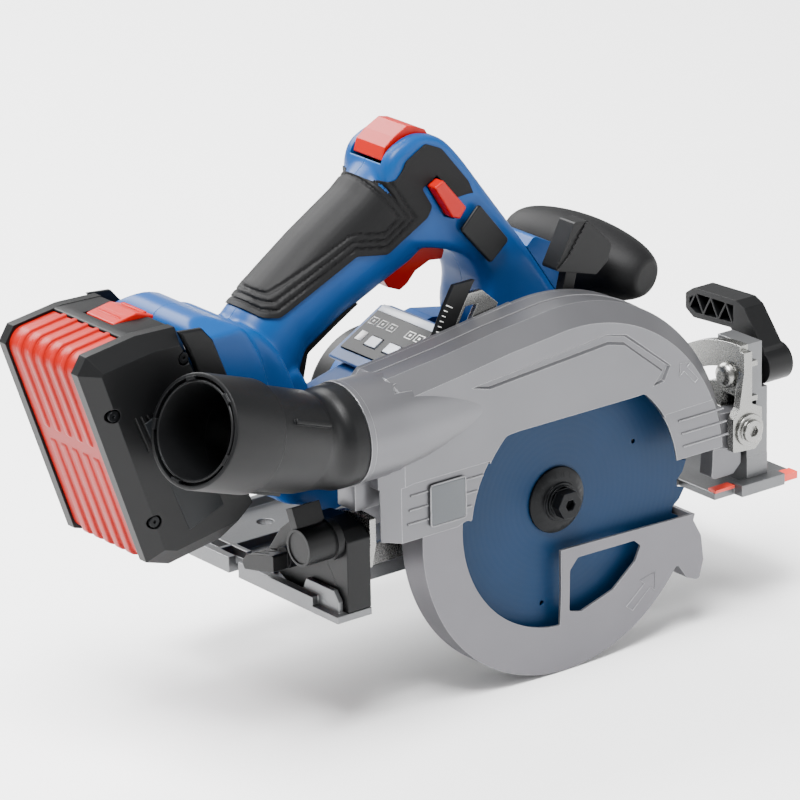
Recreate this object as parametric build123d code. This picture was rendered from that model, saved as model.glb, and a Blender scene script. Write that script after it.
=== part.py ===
from build123d import *
from math import cos, sin, radians, hypot
import os

# Cordless circular saw. Millimetres, +X is the cutting direction, +Y is the saw's left, +Z is up.
# The origin is on the sole, under the blade's axis, in the middle plane of the main handle.

# ---- driving dimensions ----
blade_y = -60.0            # middle plane of the blade
axis_z = 25.5              # height of the blade's axis over the sole at full depth
blade_r = 82.5             # 165 mm blade
blade_t = 1.6
blade_bore_r = 10.0
flange_r = 16.6

guard_r = 100.0            # outside of the fixed guard
guard_wall = 2.4
guard_near_y = -77.8
guard_far_y = -48.0
guard_foot_z = 34.0        # lower edge of the fixed guard
window_r = 64.0

swing_r = 86.2             # outside of the swinging guard
swing_near_y = -67.8
swing_far_y = -51.6
swing_wall = 1.6
nose_r = 18.0              # gear case nose that the swinging guard turns on
running_gap = 0.08

gear_module = 1.0
gear_teeth = 40
pinion_teeth = 10
motor_angle = 120.0        # direction from the blade's axis to the motor's axis
motor_r = 35.0

hinge_x = 118.0            # depth hinge
hinge_z = 34.0
bevel_bolt_y = -54.0       # front bevel clamp bolt
bevel_bolt_z = 60.0
knob_y = -58.5             # rear bevel clamp bolt
knob_z = 38.5
bevel_y = -60.0            # the bevel axis runs along X in the sole's plane

plate_rear_x = -138.5
plate_front_x = 150.0
plate_left_y = 75.0
plate_slot_y = -35.0       # left side of the blade's slot
slot_rear_x = -118.2
slot_front_x = 99.7
ear_y = -69.5
plate_t = 3.6
plate_rib_z = 8.0
guide_hole_r = 4.2

outlet_x = -128.0          # mouth of the fixed guard's dust outlet
outlet_z = 89.5
outlet_r = 24.6

grip_half = 18.5
strut_half = 22.0
foot_half = 34.5
shell_wall = 2.6

battery_half = 38.0
pack_chamfer = 4.5
battery_tilt = 21.9        # the pack leans back by this angle
pack_dir = (sin(radians(battery_tilt)), -cos(radians(battery_tilt)))

motor_x = gear_module * (gear_teeth + pinion_teeth) / 2 * cos(radians(motor_angle))
motor_z = axis_z + gear_module * (gear_teeth + pinion_teeth) / 2 * sin(radians(motor_angle))


# ---- small helpers ----
panel_tilt = 29.3       # slope of the key panel, degrees
button_places = (-9, 5)  # Y of the two keys on it


def side_plane(y):
    """Plane at Y = y whose local x and y are the saw's X and Z; it faces the blade side."""
    return Plane(origin=(0, y, 0), x_dir=(1, 0, 0), z_dir=(0, -1, 0))


def cross_plane(x):
    """Plane at X = x whose local x and y are the saw's Y and Z; it faces the front."""
    return Plane(origin=(x, 0, 0), x_dir=(0, 1, 0), z_dir=(1, 0, 0))


def loop(points, radius=0.0):
    """A closed face through the points, with rounded corners."""
    if radius == 0:
        return make_face(Polyline(*points, close=True))
    return make_face(FilletPolyline(*points, radius=radius, close=True))


def slab(face, y0, y1):
    """A side-plane face made solid from y0 to y1."""
    return extrude(side_plane(y1) * face, amount=y1 - y0)


def cross_slab(face, x0, x1):
    """A cross-plane face made solid from x0 to x1."""
    return extrude(cross_plane(x0) * face, amount=x1 - x0)


def disc(x, z, r, y0, y1):
    """A cylinder along Y."""
    return slab(Pos(x, z) * Circle(r), y0, y1)


def rod(y, z, r, x0, x1):
    """A cylinder along X."""
    return cross_slab(Pos(y, z) * Circle(r), x0, x1)


def block(x0, x1, y0, y1, z0, z1):
    return Pos((x0 + x1) / 2, (y0 + y1) / 2, (z0 + z1) / 2) * Box(x1 - x0, y1 - y0, z1 - z0)


def rounded_slab(face, y0, y1, near=0.0, far=0.0):
    """A slab whose edges at its blade side and its left side are rounded."""
    body = slab(face, y0, y1)
    if near:
        body = fillet(body.faces().sort_by(Axis.Y)[0].edges(), near)
    if far:
        body = fillet(body.faces().sort_by(Axis.Y)[-1].edges(), far)
    return body


def axle_circle(r):
    """A circle round the blade's axis, in the side plane."""
    return Pos(0, axis_z) * Circle(r)


def hex_face(x, z, flats):
    return Pos(x, z) * RegularPolygon(flats / 2, 6, major_radius=False)


def gear_face(teeth, module, phase):
    """A spur gear outline with slim straight-sided teeth; phase points at one tooth."""
    pitch = teeth * module / 2
    tip, root = pitch + 0.9 * module, pitch - 1.2 * module
    half = [(root, 1.0), (pitch, 0.66), (tip, 0.34)]
    points = []
    for k in range(teeth):
        centre = radians(phase + 360 * k / teeth)
        flank = [(r, -w * module / r) for r, w in half] + [(r, w * module / r) for r, w in reversed(half)]
        points += [(r * cos(centre + a), r * sin(centre + a)) for r, a in flank]
    return make_face(Polyline(*points, close=True))


# ---- blade, spindle and drive ----
def saw_blade():
    teeth = 36
    gullet_r = blade_r - 5
    points = []
    for k in range(teeth):
        start = 360 * k / teeth
        for turn, r in ((0.0, blade_r), (0.6, gullet_r), (3.0, gullet_r - 0.5), (6.0, blade_r - 2.2)):
            a = radians(start + turn)
            points.append((r * cos(a), r * sin(a)))
    face = make_face(Polyline(*points, close=True))
    plate = slab(Pos(0, axis_z) * face, blade_y - blade_t / 2, blade_y + blade_t / 2)
    bore = disc(0, axis_z, blade_bore_r, blade_y - 2, blade_y + 2)
    pins = [disc(52 * cos(radians(a)), axis_z + 52 * sin(radians(a)), 1.2, blade_y - 2, blade_y + 2)
            for a in (20, 140, 260)]
    return plate - bore - pins


spindle_tip_y = blade_y - 0.7
flange_back_y = blade_y + 4.8
gear_y0, gear_y1 = -40.5, -33.5


def spindle():
    shaft = disc(0, axis_z, 6.0, spindle_tip_y, -32.6) + disc(0, axis_z, 4.0, -32.6, -26.2)
    return shaft - disc(0, axis_z, 4.0, spindle_tip_y, -42)


def inner_flange():
    hub = disc(0, axis_z, flange_r, blade_y + blade_t / 2, flange_back_y)
    hub += disc(0, axis_z, blade_bore_r - 0.03, spindle_tip_y, blade_y + blade_t / 2)
    return hub - disc(0, axis_z, 6.02, spindle_tip_y - 1, flange_back_y + 1)


def outer_flange():
    y = blade_y - blade_t / 2
    body = disc(0, axis_z, flange_r, y - 1.4, y)
    cone = Pos(0, y - 1.4, axis_z) * Rot(90, 0, 0) * Cone(flange_r, 11.5, 2.4, align=(Align.CENTER, Align.CENTER, Align.MIN))
    body += cone + disc(0, axis_z, 9.6, y - 5.0, y - 3.8)
    return body - disc(0, axis_z, 4.1, y - 6, y + 1)


def blade_bolt():
    head_y = blade_y - blade_t / 2 - 5.0
    head = slab(hex_face(0, axis_z, 13.0), head_y - 6.6, head_y)
    head = head & disc(0, axis_z, 7.2, head_y - 7, head_y + 1)
    shank = disc(0, axis_z, 3.97, head_y, -44)
    socket = slab(hex_face(0, axis_z, 5.0), head_y - 7, head_y - 3)
    return head + disc(0, axis_z, 8.4, head_y - 0.9, head_y) + shank - socket


def spindle_gear():
    wheel = slab(Pos(0, axis_z) * gear_face(gear_teeth, gear_module, motor_angle), gear_y0, gear_y1)
    web = slab(axle_circle(16.0) - axle_circle(9.0), gear_y0 - 1, gear_y0 + 2)
    return wheel - web - disc(0, axis_z, 6.02, gear_y0 - 1, gear_y1 + 1)


def rotor_shaft():
    shaft = disc(motor_x, motor_z, 4.0, -30.6, 68)
    teeth = gear_face(pinion_teeth, gear_module, motor_angle + 180 + 180 / pinion_teeth)
    return shaft + slab(Pos(motor_x, motor_z) * teeth, gear_y0 + 0.2, -30.6)


def rotor_core():
    poles = Circle(15.0)
    for k in range(4):
        poles -= Rot(0, 0, 90 * k + 45) * Pos(11.8, 0) * Rectangle(1.6, 13)
    return slab(Pos(motor_x, motor_z) * (poles - Circle(4.02)), -4, 34)


def cooling_fan():
    hub = disc(motor_x, motor_z, 8.0, 40, 50)
    plate = disc(motor_x, motor_z, 27.0, 40, 41.4)
    fan = hub + plate
    for k in range(11):
        vane = Rot(0, 0, 360 * k / 11) * Pos(17.4, 0) * Rot(0, 0, 24) * Rectangle(17.5, 1.3)
        fan += slab(Pos(motor_x, motor_z) * vane, 41.4, 49)
    return fan - disc(motor_x, motor_z, 4.02, 39, 51)


def stator():
    ring = Circle(30.0) - Circle(26.0)
    for k in range(6):
        ring += Rot(0, 0, 60 * k) * Pos(21.2, 0) * Rectangle(10.4, 6.5)
        ring += Rot(0, 0, 60 * k) * Pos(16.9, 0) * Rectangle(1.8, 12)
    return slab(Pos(motor_x, motor_z) * ring, -6, 36)


def ring(x, z, outer, inner, y0, y1):
    return disc(x, z, outer, y0, y1) - disc(x, z, inner, y0 - 1, y1 + 1)


def bearings():
    """Two bearings of the spindle and two of the rotor."""
    return [ring(0, axis_z, 12.0, 6.05, -53.6, -45.6), ring(0, axis_z, 8.0, 4.05, -30.2, -26.4),
            ring(motor_x, motor_z, 9.5, 4.05, -26.0, -19.0), ring(motor_x, motor_z, 9.5, 4.05, 62.2, 69.2)]


# ---- fixed guard ----
def guard_outline(inset=0.0):
    """Side outline of the fixed guard, drawn in by an inset: a round top and a rear tail."""
    tail_top, tail_rear = 113.5 - inset, outlet_x + 16 + inset
    dome = axle_circle(guard_r - inset)
    tail = loop([(-15, 125.0 - inset), (-70, 117.5 - inset), (tail_rear + 6, tail_top),
                 (tail_rear, tail_top - 6), (tail_rear, guard_foot_z), (-15, guard_foot_z)])
    keep = Pos(0, 100) * Rectangle(300, 2 * (100 - guard_foot_z))
    return (dome + tail) & keep


def guard_window():
    hole = axle_circle(window_r) & (Pos(0, 74 - 60) * Rectangle(200, 120))
    step = loop([(-50, 42), (-61.5, 42), (-66, 37), (-71, 35), (-71, 20), (-50, 20)])
    return hole + step


def upper_guard():
    face = guard_outline()
    shell = slab(face, guard_near_y, guard_far_y)
    shell = chamfer(shell.faces().sort_by(Axis.Y)[0].edges().filter_by(
        lambda e: e.center().Z > guard_foot_z + 1), 4.4)
    cavity = slab(guard_outline(guard_wall) + loop([(-108, 20), (96, 20), (96, 50), (-108, 50)]),
                  guard_near_y + guard_wall, guard_far_y + 1)
    cavity = chamfer(cavity.faces().sort_by(Axis.Y)[0].edges(), 3.4)
    shell -= cavity
    shell -= slab(guard_window(), guard_near_y - 1, guard_near_y + guard_wall + 1)
    rear_gap = block(-140, -106, -68.5, guard_far_y + 1, 30, 60)
    spout = rod(blade_y, outlet_z, outlet_r, outlet_x, -96) + rod(blade_y, outlet_z, outlet_r + 0.6, outlet_x, outlet_x + 3)
    spout_bore = rod(blade_y, outlet_z, outlet_r - 2.0, outlet_x - 1, -94)
    lug = block(-121, -106, -62, guard_far_y, 49.5, 66) - rod(-55, 56, 2.2, -125, -100)
    return shell - rear_gap + spout - spout_bore + lug


def guard_back_plate():
    face = guard_outline() + axle_circle(27.0) - axle_circle(nose_r + 0.05)
    plate = slab(face, guard_far_y, guard_far_y + 2.7)
    return plate - rod(blade_y, outlet_z, outlet_r + 0.05, outlet_x - 1, -94)


def hinge_lug():
    """Casting on the front of the guard that the depth hinge pin goes through."""
    face = loop([(97, 26), (110, 24.6), (hinge_x, 25.5), (hinge_x, 42.5), (104, 44), (99, 50), (97, 46)])
    lug = slab(face + Pos(hinge_x, hinge_z) * Circle(8.5), -61.0, -51.2)
    foot = slab(loop([(89.5, 33), (90, 19), (101, 10.3), (113, 10.3), (118, 15), (118, 27), (97, 34)]), -60.5, -51.2)
    arm = slab(loop([(86, 62), (75, 44), (75, 30), (88, 24), (104, 24), (104, 46)]), guard_far_y + 2.7, -41.5)
    bridge = slab(loop([(100.4, 26), (104, 26), (104, 44), (100.4, 44)]), -52, -42)
    return lug + foot + bridge - disc(0, axis_z, guard_r + 0.05, -70, guard_far_y + 2.7) + arm - disc(
        hinge_x, hinge_z, 4.0, -70, -40)


def guard_spring():
    """Flat spiral spring round the nose, built from half turns of growing radius."""
    pitch, width, start = 1.5, 0.8, 21.4
    spring = None
    for k in range(6):
        r = start + pitch * k / 2
        shift = pitch / 4 if k % 2 else -pitch / 4
        half = (Circle(r + width) - Circle(r)) & (Pos(0, 40 if k % 2 else -40) * Rectangle(90, 80))
        piece = Pos(shift, 0) * half
        spring = piece if spring is None else spring + piece
    return slab(Pos(0, axis_z) * spring, -50.7, -48.5)


def guard_circlip():
    clip = Circle(20.6) - Circle(17.2) - Pos(0, -20) * Rectangle(9, 12)
    return slab(Pos(0, axis_z) * clip, -54.5, -53.7)


def gear_case():
    outline = make_hull((axle_circle(24.4).edges() + (Pos(motor_x, motor_z) * Circle(19.0)).edges()))
    case = slab(outline, guard_far_y + 2.7, -30.2) + disc(0, axis_z, nose_r, -55.0, -45)
    case += [disc(x, z, 4.6, guard_far_y + 2.7, -30.2) for x, z in ((22, 40), (-24.5, 21))]
    inside = slab(axle_circle(22.2) + Pos(motor_x, motor_z) * Circle(8.0), -41.5, -30)
    case -= inside
    case -= disc(0, axis_z, 12.0, -53.6, -45.6) + disc(0, axis_z, 8.5, -56, -44) + disc(0, axis_z, 10, -46, -41)
    groove = ring(0, axis_z, nose_r + 1, 17.2, -54.5, -53.7)
    return case - groove


# ---- swinging guard ----
def swing_mask():
    return loop([(-95, 43), (-20, 43), (0, 20), (0, 2), (6, 2), (92, -1), (100, -60), (100, -110), (-95, -110)])


def lower_guard():
    nose = loop([(70, -2), (79.5, -1), (86, -13), (87.5, -26), (84.5, -36), (77, -33), (70.5, -24), (62, -34)], 2.0)
    mask = swing_mask()
    near = ((axle_circle(swing_r) & mask) + nose) - (axle_circle(62.3) & loop(
        [(-70, 60), (-2.5, 60), (-2.5, -20), (-6.5, -90), (-70, -90)]))
    near -= loop([(-3.5, 60), (80, 60), (80, -0.5), (-0.8, 1.6), (-3.5, 1.6)])
    window = loop([(3.0, -10), (8, -4.5), (43.5, -5), (47.5, -8.5), (44, -16), (30, -27), (10, -33), (2.4, -31)], 1.6)
    plate = slab(near - window, swing_near_y, swing_near_y + swing_wall)
    rim = slab(((axle_circle(swing_r) - axle_circle(swing_r - swing_wall)) & mask), swing_near_y, swing_far_y)
    nose_rim = slab((nose - offset(nose, -1.6, kind=Kind.INTERSECTION)) - axle_circle(swing_r - 1.0),
                    swing_near_y, swing_far_y)
    back_face = (axle_circle(swing_r) & mask) + axle_circle(24) - axle_circle(nose_r + running_gap)
    back_face -= loop([(20, 60), (90, 60), (90, 2), (22, 2)])
    back = slab(back_face, swing_far_y - 1.4, swing_far_y)
    collar = ring(0, axis_z, 23.0, nose_r + running_gap, -53.5, -51.2)
    return plate + rim + nose_rim + back + collar


# ---- main handle and housings ----
opening = [(-112, 84), (-113, 100), (-108, 111), (-94, 119.5), (-80, 126), (-65, 131.5), (-54, 134.5),
           (-26, 134.5), (-17, 122), (-21, 110), (-36, 101), (-62, 91), (-90, 84)]
handle_outer = [(-141, 138.5), (-129, 149), (-103, 167), (-76, 183.5), (-65, 192), (-61, 201), (-46, 207.5),
                (-30, 203), (-19, 191), (-2, 168), (19, 140), (42, 106), (34, 88), (-4, 84), (-56, 70),
                (-92, 33), (-106, 30.5), (-117, 38), (-130, 41), (-140, 52), (-150, 76)]


def handle_face(inset=0.0):
    face = loop(handle_outer, 3.0)
    hole = loop(opening, 2.5)
    if inset:
        return offset(face, -inset, kind=Kind.INTERSECTION) - offset(hole, inset, kind=Kind.INTERSECTION)
    return face - hole


def strut_face(inset=0.0):
    """Front strut, from the switch area down to the motor housing."""
    face = loop([(-31, 176), (-12, 178), (18, 138.5), (40, 106), (33, 90), (-10, 90), (-16, 112), (-12, 122),
                 (-20, 134), (-38, 150)], 2.0)
    return offset(face, -inset, kind=Kind.INTERSECTION) if inset else face


def foot_face(inset=0.0):
    """Foot that the battery rail is screwed to."""
    face = loop([pack_point(80, 0.1), pack_point(11, 0.1), pack_point(4, 4.2), (-172, 144.5), (-158, 146),
                 (-142, 139.5), (-128, 122), (-124, 92), (-130, 62)], 2.0)
    return offset(face, -inset, kind=Kind.INTERSECTION) if inset else face


def depth_slot():
    """Room beside the handle for the depth arc to pass."""
    return slab(Pos(hinge_x, hinge_z) * (Circle(200) - Circle(152)), -46, -39.6)


def handle_solid(inset):
    half, wide, foot = grip_half - inset, strut_half - inset, foot_half - inset
    body = rounded_slab(handle_face(inset), -half, half)
    body += slab(strut_face(inset), -wide, wide)
    body += slab(foot_face(inset), -foot, foot)
    beam = loop([(-139, 52), (-129, 41.5), (-117, 38.5), (-106, 31), (-92, 33.5), (-64, 62), (-66, 80), (-110, 80),
                 (-140, 74)], 2.0)
    beam = offset(beam, -inset, kind=Kind.INTERSECTION) if inset else beam
    return body + slab(beam, -wide, wide)


def handle_shell(side):
    """One half of the handle; side is -1 for the blade side and 1 for the left side."""
    shell = handle_solid(0.0) - handle_solid(shell_wall)
    y0, y1 = (-60, 0) if side < 0 else (0, 60)
    shell = shell & block(-220, 80, y0, y1, 0, 230)
    return shell - switch_pockets() - motor_space(0.4) - terminal_box(0.3)


def motor_space(gap):
    """Volume of the motor housing's barrel, grown by a gap."""
    return disc(motor_x, motor_z, motor_r + gap, -30.2 - gap, 70 + gap)


def terminal_box(gap=0.0):
    """Terminal block behind the battery rail."""
    x, z = pack_point(60, pack_front + 7)
    return Pos(x, 0, z) * Rot(0, -battery_tilt, 0) * Box(8.0 + 2 * gap, 34 + 2 * gap, 10 + 2 * gap)


def trigger_face():
    return loop([(-62, 149), (-62, 139.5), (-57, 131.5), (-50, 128.6), (-45.5, 131), (-40.5, 136.2), (-32, 139.5),
                 (-24.5, 138.6), (-23, 143), (-28, 148)], 1.2)


def slider_face():
    """Lock-off slider seen from the side: a ramp with grip ribs on its sloping top."""
    return loop([(-62.5, 196), (-60.5, 202.6), (-55, 206.6), (-47, 210.5), (-42, 209.4), (-36, 206.5), (-34, 203),
                 (-38, 198)], 0.8)


def side_button_shape():
    outline = loop([(-41.5, 182), (-36, 184.5), (-22.3, 168.2), (-26.6, 163.2), (-31, 165)], 1.2)
    return slab(outline, -24.6, -17.6)


def switch_pockets():
    """Openings in the shells for the trigger, the lock-off slider and the side button."""
    trigger_room = slab(loop([(-63, 153), (-63, 139), (-57.5, 130.6), (-50, 127.8), (-45, 130.2), (-40, 135.4),
                              (-32, 138.8), (-23.8, 137.6), (-20, 146), (-24, 153)]), -8.2, 8.2)
    room = trigger_room + slab(loop([(-64, 190), (-58, 196), (-38, 198), (-34, 194), (-34, 190)]), -11.6, 11.6)
    for drop in (0, 1.7, 3.4):
        room += Pos(0, 0, -drop) * slab(offset(slider_face(), 0.5, kind=Kind.INTERSECTION), -11.6, 11.6)
    return room + slab(loop([(-42.5, 182.4), (-36, 185.8), (-21.2, 168.2), (-26.4, 162.2), (-31.6, 164.3)]), -30, -14)


def trigger():
    blade = slab(trigger_face(), -7.5, 7.5)
    blade = fillet(blade.edges().filter_by(lambda e: abs(abs(e.center().Y) - 7.5) < 0.01 and e.center().Z < 145), 0.8)
    return blade - disc(-58, 146.5, 2.05, -9, 9)


def lock_off_slider():
    body = slab(slider_face(), -11.0, 11.0)
    for k in range(4):
        x = -57.5 + 3.6 * k
        body -= Pos(x, 0, 206.9 + 1.9 * k) * Rot(0, -27, 0) * Box(1.3, 20, 2.2)
    return body


def grip_overmould():
    """Rubber sleeve over the grip's back and flanks."""
    outer = loop([(-133, 139), (-124, 152), (-103, 167.9), (-76, 184.4), (-67, 191.5), (-60, 187), (-30, 172),
                  (-33, 163), (-56, 151), (-64, 143), (-82, 141), (-92, 133), (-110, 122), (-124, 127)], 1.5)
    sleeve = slab(outer, -grip_half - 1.0, grip_half + 1.0)
    return sleeve - slab(handle_face(), -grip_half, grip_half) - slab(strut_face(), -30, 30) - switch_pockets()


def grip_pad():
    """Rubber pad under the grip's rear end."""
    outer = loop([(-116, 98), (-114.4, 110), (-108.6, 112.4), (-94, 120.9), (-80, 127.4), (-76, 126.4), (-92, 117),
                  (-107, 108.6), (-110.6, 98)], 0.0)
    return slab(outer, -12, 12) - slab(handle_face(0.0), -grip_half, grip_half)


def connectivity_cover():
    outline = loop([(-25.5, 157), (-14, 168), (4, 146), (-7.5, 136.5)], 2.0)
    return rounded_slab(outline, -strut_half - 1.6, -strut_half, near=1.0)


def motor_housing():
    """Barrel round the motor with the neck that joins it to the handle."""
    barrel = disc(motor_x, motor_z, motor_r, -30.2, 62)
    shoulder = slab(loop([(-47, 60), (-40, 92), (-8, 98), (24, 92), (26, 58)], 4.0), -30.2, 40)
    body = barrel + shoulder
    body -= disc(motor_x, motor_z, 30.1, -18, 64)
    body -= disc(motor_x, motor_z, 9.5, -26.2, -10) + disc(motor_x, motor_z, 5.2, -31, -20)
    body -= disc(0, axis_z, 8.0, -31, -26.2)
    body -= handle_solid(0.0)
    for k in range(5):
        body -= Pos(motor_x, 48, motor_z) * Rot(0, 18 + 36 * k - 90, 0) * Pos(0, 0, motor_r) * Box(3.0, 16, 14)
    return body


def motor_end_cap():
    cap = disc(motor_x, motor_z, motor_r, 62, 75)
    cap = fillet(cap.faces().sort_by(Axis.Y)[-1].edges(), 4.0)
    cap -= disc(motor_x, motor_z, 30.1, 60, 71) - disc(motor_x, motor_z, 12.0, 60, 72)
    cap -= disc(motor_x, motor_z, 9.5, 52, 69.3)
    for k in range(12):
        cap -= Pos(motor_x, 73, motor_z) * Rot(0, 30 * k, 0) * Pos(0, 0, 21) * Box(2.6, 8, 10)
    return cap


def aux_neck():
    """Neck from the front strut up to the front handle."""
    face = loop([(30, 92), (18, 134), (26, 141), (36, 136), (48, 128), (60, 118), (62, 100), (50, 90)], 3.0)
    neck = rounded_slab(face, -15, 15)
    return neck - slab(strut_face(-0.05), -30, 30) - slab(handle_face(-0.05), -30, 30) - grip_form(0.05)


aux_centre = (63.0, -4.0, 121.0)


def grip_form(grow=0.0):
    """Front grip: a long rounded form that thins towards the blade side."""
    length = 82.0
    stations = ((-1.0, 9.0), (-0.8, 15.5), (-0.35, 19.5), (0.1, 20.0), (0.55, 17.5), (0.85, 13.5), (1.0, 9.0))
    rings = []
    for s, r in stations:
        plane = Plane(origin=(s * length / 2, 0, 0), x_dir=(0, 1, 0), z_dir=(1, 0, 0))
        rings.append(plane * Ellipse(r + grow, (r + grow) * 0.96))
    body = loft(rings)
    body = fillet(body.faces().sort_by(Axis.X)[0].edges() + body.faces().sort_by(Axis.X)[-1].edges(), 4.5)
    return Pos(*aux_centre) * Rot(0, 0, -76) * Rot(0, 6, 0) * body


def spindle_lock():
    face = loop([(15, 133), (27, 155), (35, 154), (50, 139), (47, 131), (40, 126), (26, 130)], 1.5)
    lever = slab(face, -44.5, -33.5)
    lever += slab(loop([(24, 134), (31, 134), (14, 72), (7, 72)]), -42.5, -37.5)
    for k in range(7):
        lever -= Pos(19 + 1.75 * k, -44.5, 136 + 2.35 * k) * Rot(0, -38, 0) * Box(13, 1.6, 1.0)
    return lever


def panel_frame():
    face = loop([(-71, 92), (-38, 110.5), (-31, 108.5), (-29, 101.2), (-62, 91.4), (-66, 89)], 1.0)
    frame = slab(face, -26, 24) - slab(handle_face(-0.02), -19, 19) - slab(strut_face(-0.02), -30, 30)
    frame -= on_panel(0, -1, 0.3, 31, 45, 3.0)
    for y in button_places:
        frame -= on_panel(-6.5, y, -1.0, 7.0, 9.0, 6.0)
    return frame


def on_panel(along, y, lift, length, width, height):
    """A box lying in the panel's tilted plane; along runs up the panel."""
    turn = radians(panel_tilt)
    x = -51.2 + along * cos(turn) - lift * sin(turn)
    z = 103.4 + along * sin(turn) + lift * cos(turn)
    return Pos(x, y, z) * Rot(0, -panel_tilt, 0) * Box(length, width, height)


def panel_face():
    screen = on_panel(0, -1, 0, 30.6, 44.6, 1.2)
    for y in button_places:
        screen -= on_panel(-6.5, y, 0, 7.0, 9.0, 5)
    return screen


def mode_button(y):
    return on_panel(-6.5, y, 0.3, 6.2, 8.2, 1.8)


# ---- battery, battery rail and electronics ----
def pack_point(along, across):
    """Point in the pack's own directions: along runs down the pack, across runs towards the saw."""
    return (-190.2 + along * pack_dir[0] + across * -pack_dir[1], 141.0 + along * pack_dir[1] + across * pack_dir[0])


pack_front = -4.0


def pack_outline(inset=0.0):
    points = [(-253.6, 139.8), (-248.3, 147.6), (-221, 151.6), (-199, 151.0), pack_point(-5, pack_front),
              pack_point(90, pack_front), (-177, 42), (-206.6, 36.9), (-219.2, 40.6)]
    face = loop(points, 2.0)
    return offset(face, -inset, kind=Kind.INTERSECTION) if inset else face


def battery_core():
    half = battery_half - 12.5
    body = slab(pack_outline(1.2), -half, half)
    return body - slab(pack_outline(4.2), -half - 1, half + 1) - latch_room()


def battery_shell(side):
    """Side shell of the pack with broad chamfers round its outer face."""
    half = battery_half
    outer = slab(pack_outline(), -half + pack_chamfer, -half + 12.5)
    outer += extrude(side_plane(-half + pack_chamfer) * pack_outline(), amount=pack_chamfer, taper=45)
    inner = slab(pack_outline(5.5), -half + 3.0, -half + 14)
    screws = [disc(*pack_point(a, c), 3.4, -half - 1, -half + 2.2) for a, c in pack_screws]
    shell = outer - inner - screws
    shell = shell if side < 0 else mirror(shell, about=Plane.XZ)
    return shell - latch_room()


pack_screws = ((0.5, -9), (3, -53), (63, -55))


def battery_screws():
    screws = []
    for side in (-1, 1):
        for a, c in pack_screws:
            x, z = pack_point(a, c)
            y0 = battery_half - 6.2
            screw = disc(x, z, 2.7, y0 + 4.0, y0 + 5.6) - slab(hex_face(x, z, 1.5), y0 + 4.6, y0 + 7)
            screws.append(screw if side > 0 else mirror(screw, about=Plane.XZ))
    return screws


def battery_cells():
    cells = []
    for column in range(2):
        for row in range(5):
            x, z = pack_point(4.2 + 18.1 * row, -19 - 21.4 * column)
            cells.append(disc(x, z, 8.9, -33, 33))
    return cells


def latch_room():
    return slab(loop([(-219, 160), (-219, 144.6), (-196.0, 144.0), (-190, 160)]), -11.4, 11.4)


def battery_latch():
    face = loop([(-218.4, 151.2), (-217.6, 147.2), (-197.2, 146.6), (-195.4, 150.4), (-205, 153.6)], 0.8)
    return slab(face, -11, 11)


def battery_rail():
    """Plate on the foot that the pack slides along, with the terminal block behind it."""
    front, back = pack_front + 0.4, pack_front + 4.0
    face = loop([pack_point(2, front), pack_point(2, back), pack_point(74, back), pack_point(74, front)])
    return slab(face, -30, 30) + terminal_box()


def controller_board():
    case = Pos(-142, 0, 100) * Rot(0, 10, 0) * Box(5, 54, 34)
    return case


def trigger_switch():
    """Switch module, with the plunger and the pin that the trigger turns on."""
    body = block(-58, -30, -7, 7, 153.0, 168)
    pin = disc(-58, 146.5, 1.97, -13, 13)
    hangers = [block(-61, -55, y - 1.2, y + 1.2, 143.5, 158) for y in (-9.4, 9.4)]
    return body + block(-50, -46, -3, 3, 151.4, 153.0) + pin + hangers + block(-61, -55, -10, 10, 155, 158)


def housing_screws():
    places = ((-119, 96), (-24, 150), (18, 120), (-118, 50))
    halves = (grip_half, strut_half, strut_half, strut_half)
    screws = []
    for (x, z), half in zip(places, halves):
        head = disc(x, z, 3.4, half, half + 1.0) - slab(hex_face(x, z, 2.6), half + 0.2, half + 2)
        screws.append(head)
    return screws


# ---- depth carrier: what swings on the depth hinge ----
def bevel_sector(r_out, r_in, from_deg, to_deg):
    """Ring sector round the bevel axis in the cross plane, angles counted from +Y."""
    reach = 2 * r_out
    steps = [from_deg + (to_deg - from_deg) * k / 6 for k in range(7)]
    wedge = make_face(Polyline((0, 0), *[(reach * cos(radians(a)), reach * sin(radians(a))) for a in steps], close=True))
    return Pos(bevel_y, 0) * ((Circle(r_out) - Circle(r_in)) & wedge)


def front_quadrant():
    plate = cross_slab(bevel_sector(77.0, 20.0, 26, 92.5), 115.0, 120.0)
    bolt_r = hypot(bevel_bolt_y - bevel_y, bevel_bolt_z)
    plate -= cross_slab(bevel_sector(bolt_r + 3.6, bolt_r - 3.6, 30, 88), 110, 125)
    plate -= block(110, 125, -62.0, -50.3, -10, 50.5) + block(110, 125, -60, 40, -10, 17)
    plate -= block(110, 125, -50.6, -49, 17, 50.5)
    ear_face = loop([(108, 24), (108, 41), (112, 46), (115, 64), (120, 64), (120, 47), (126.4, 44), (126.4, 27), (122, 23)],
                    1.0)
    ear = slab(ear_face, -66.5, -62.0)
    far_ear = slab(loop([(108, 26), (108, 42), (126, 42), (126, 26)], 3.0), -49.6, -45.6)
    bridge = block(115, 120, -66.5, -62.0, 46, 74)
    lugs = block(120, 124, -66.0, -62.6, 66, 68.6) + block(120, 124, -66.0, -62.6, 48, 50.6)
    pin_hole = disc(hinge_x, hinge_z, 4.02, -70, -40)
    return plate + ear + far_ear + bridge + lugs - pin_hole


def hinge_pin():
    head = disc(hinge_x, hinge_z, 8.2, -68.0, -66.5) + disc(hinge_x, hinge_z, 5.6, -70.4, -68.0)
    star = slab(Pos(hinge_x, hinge_z) * RegularPolygon(2.9, 6), -71, -68.4)
    return head + disc(hinge_x, hinge_z, 3.94, -66.5, -44) - star


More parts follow.
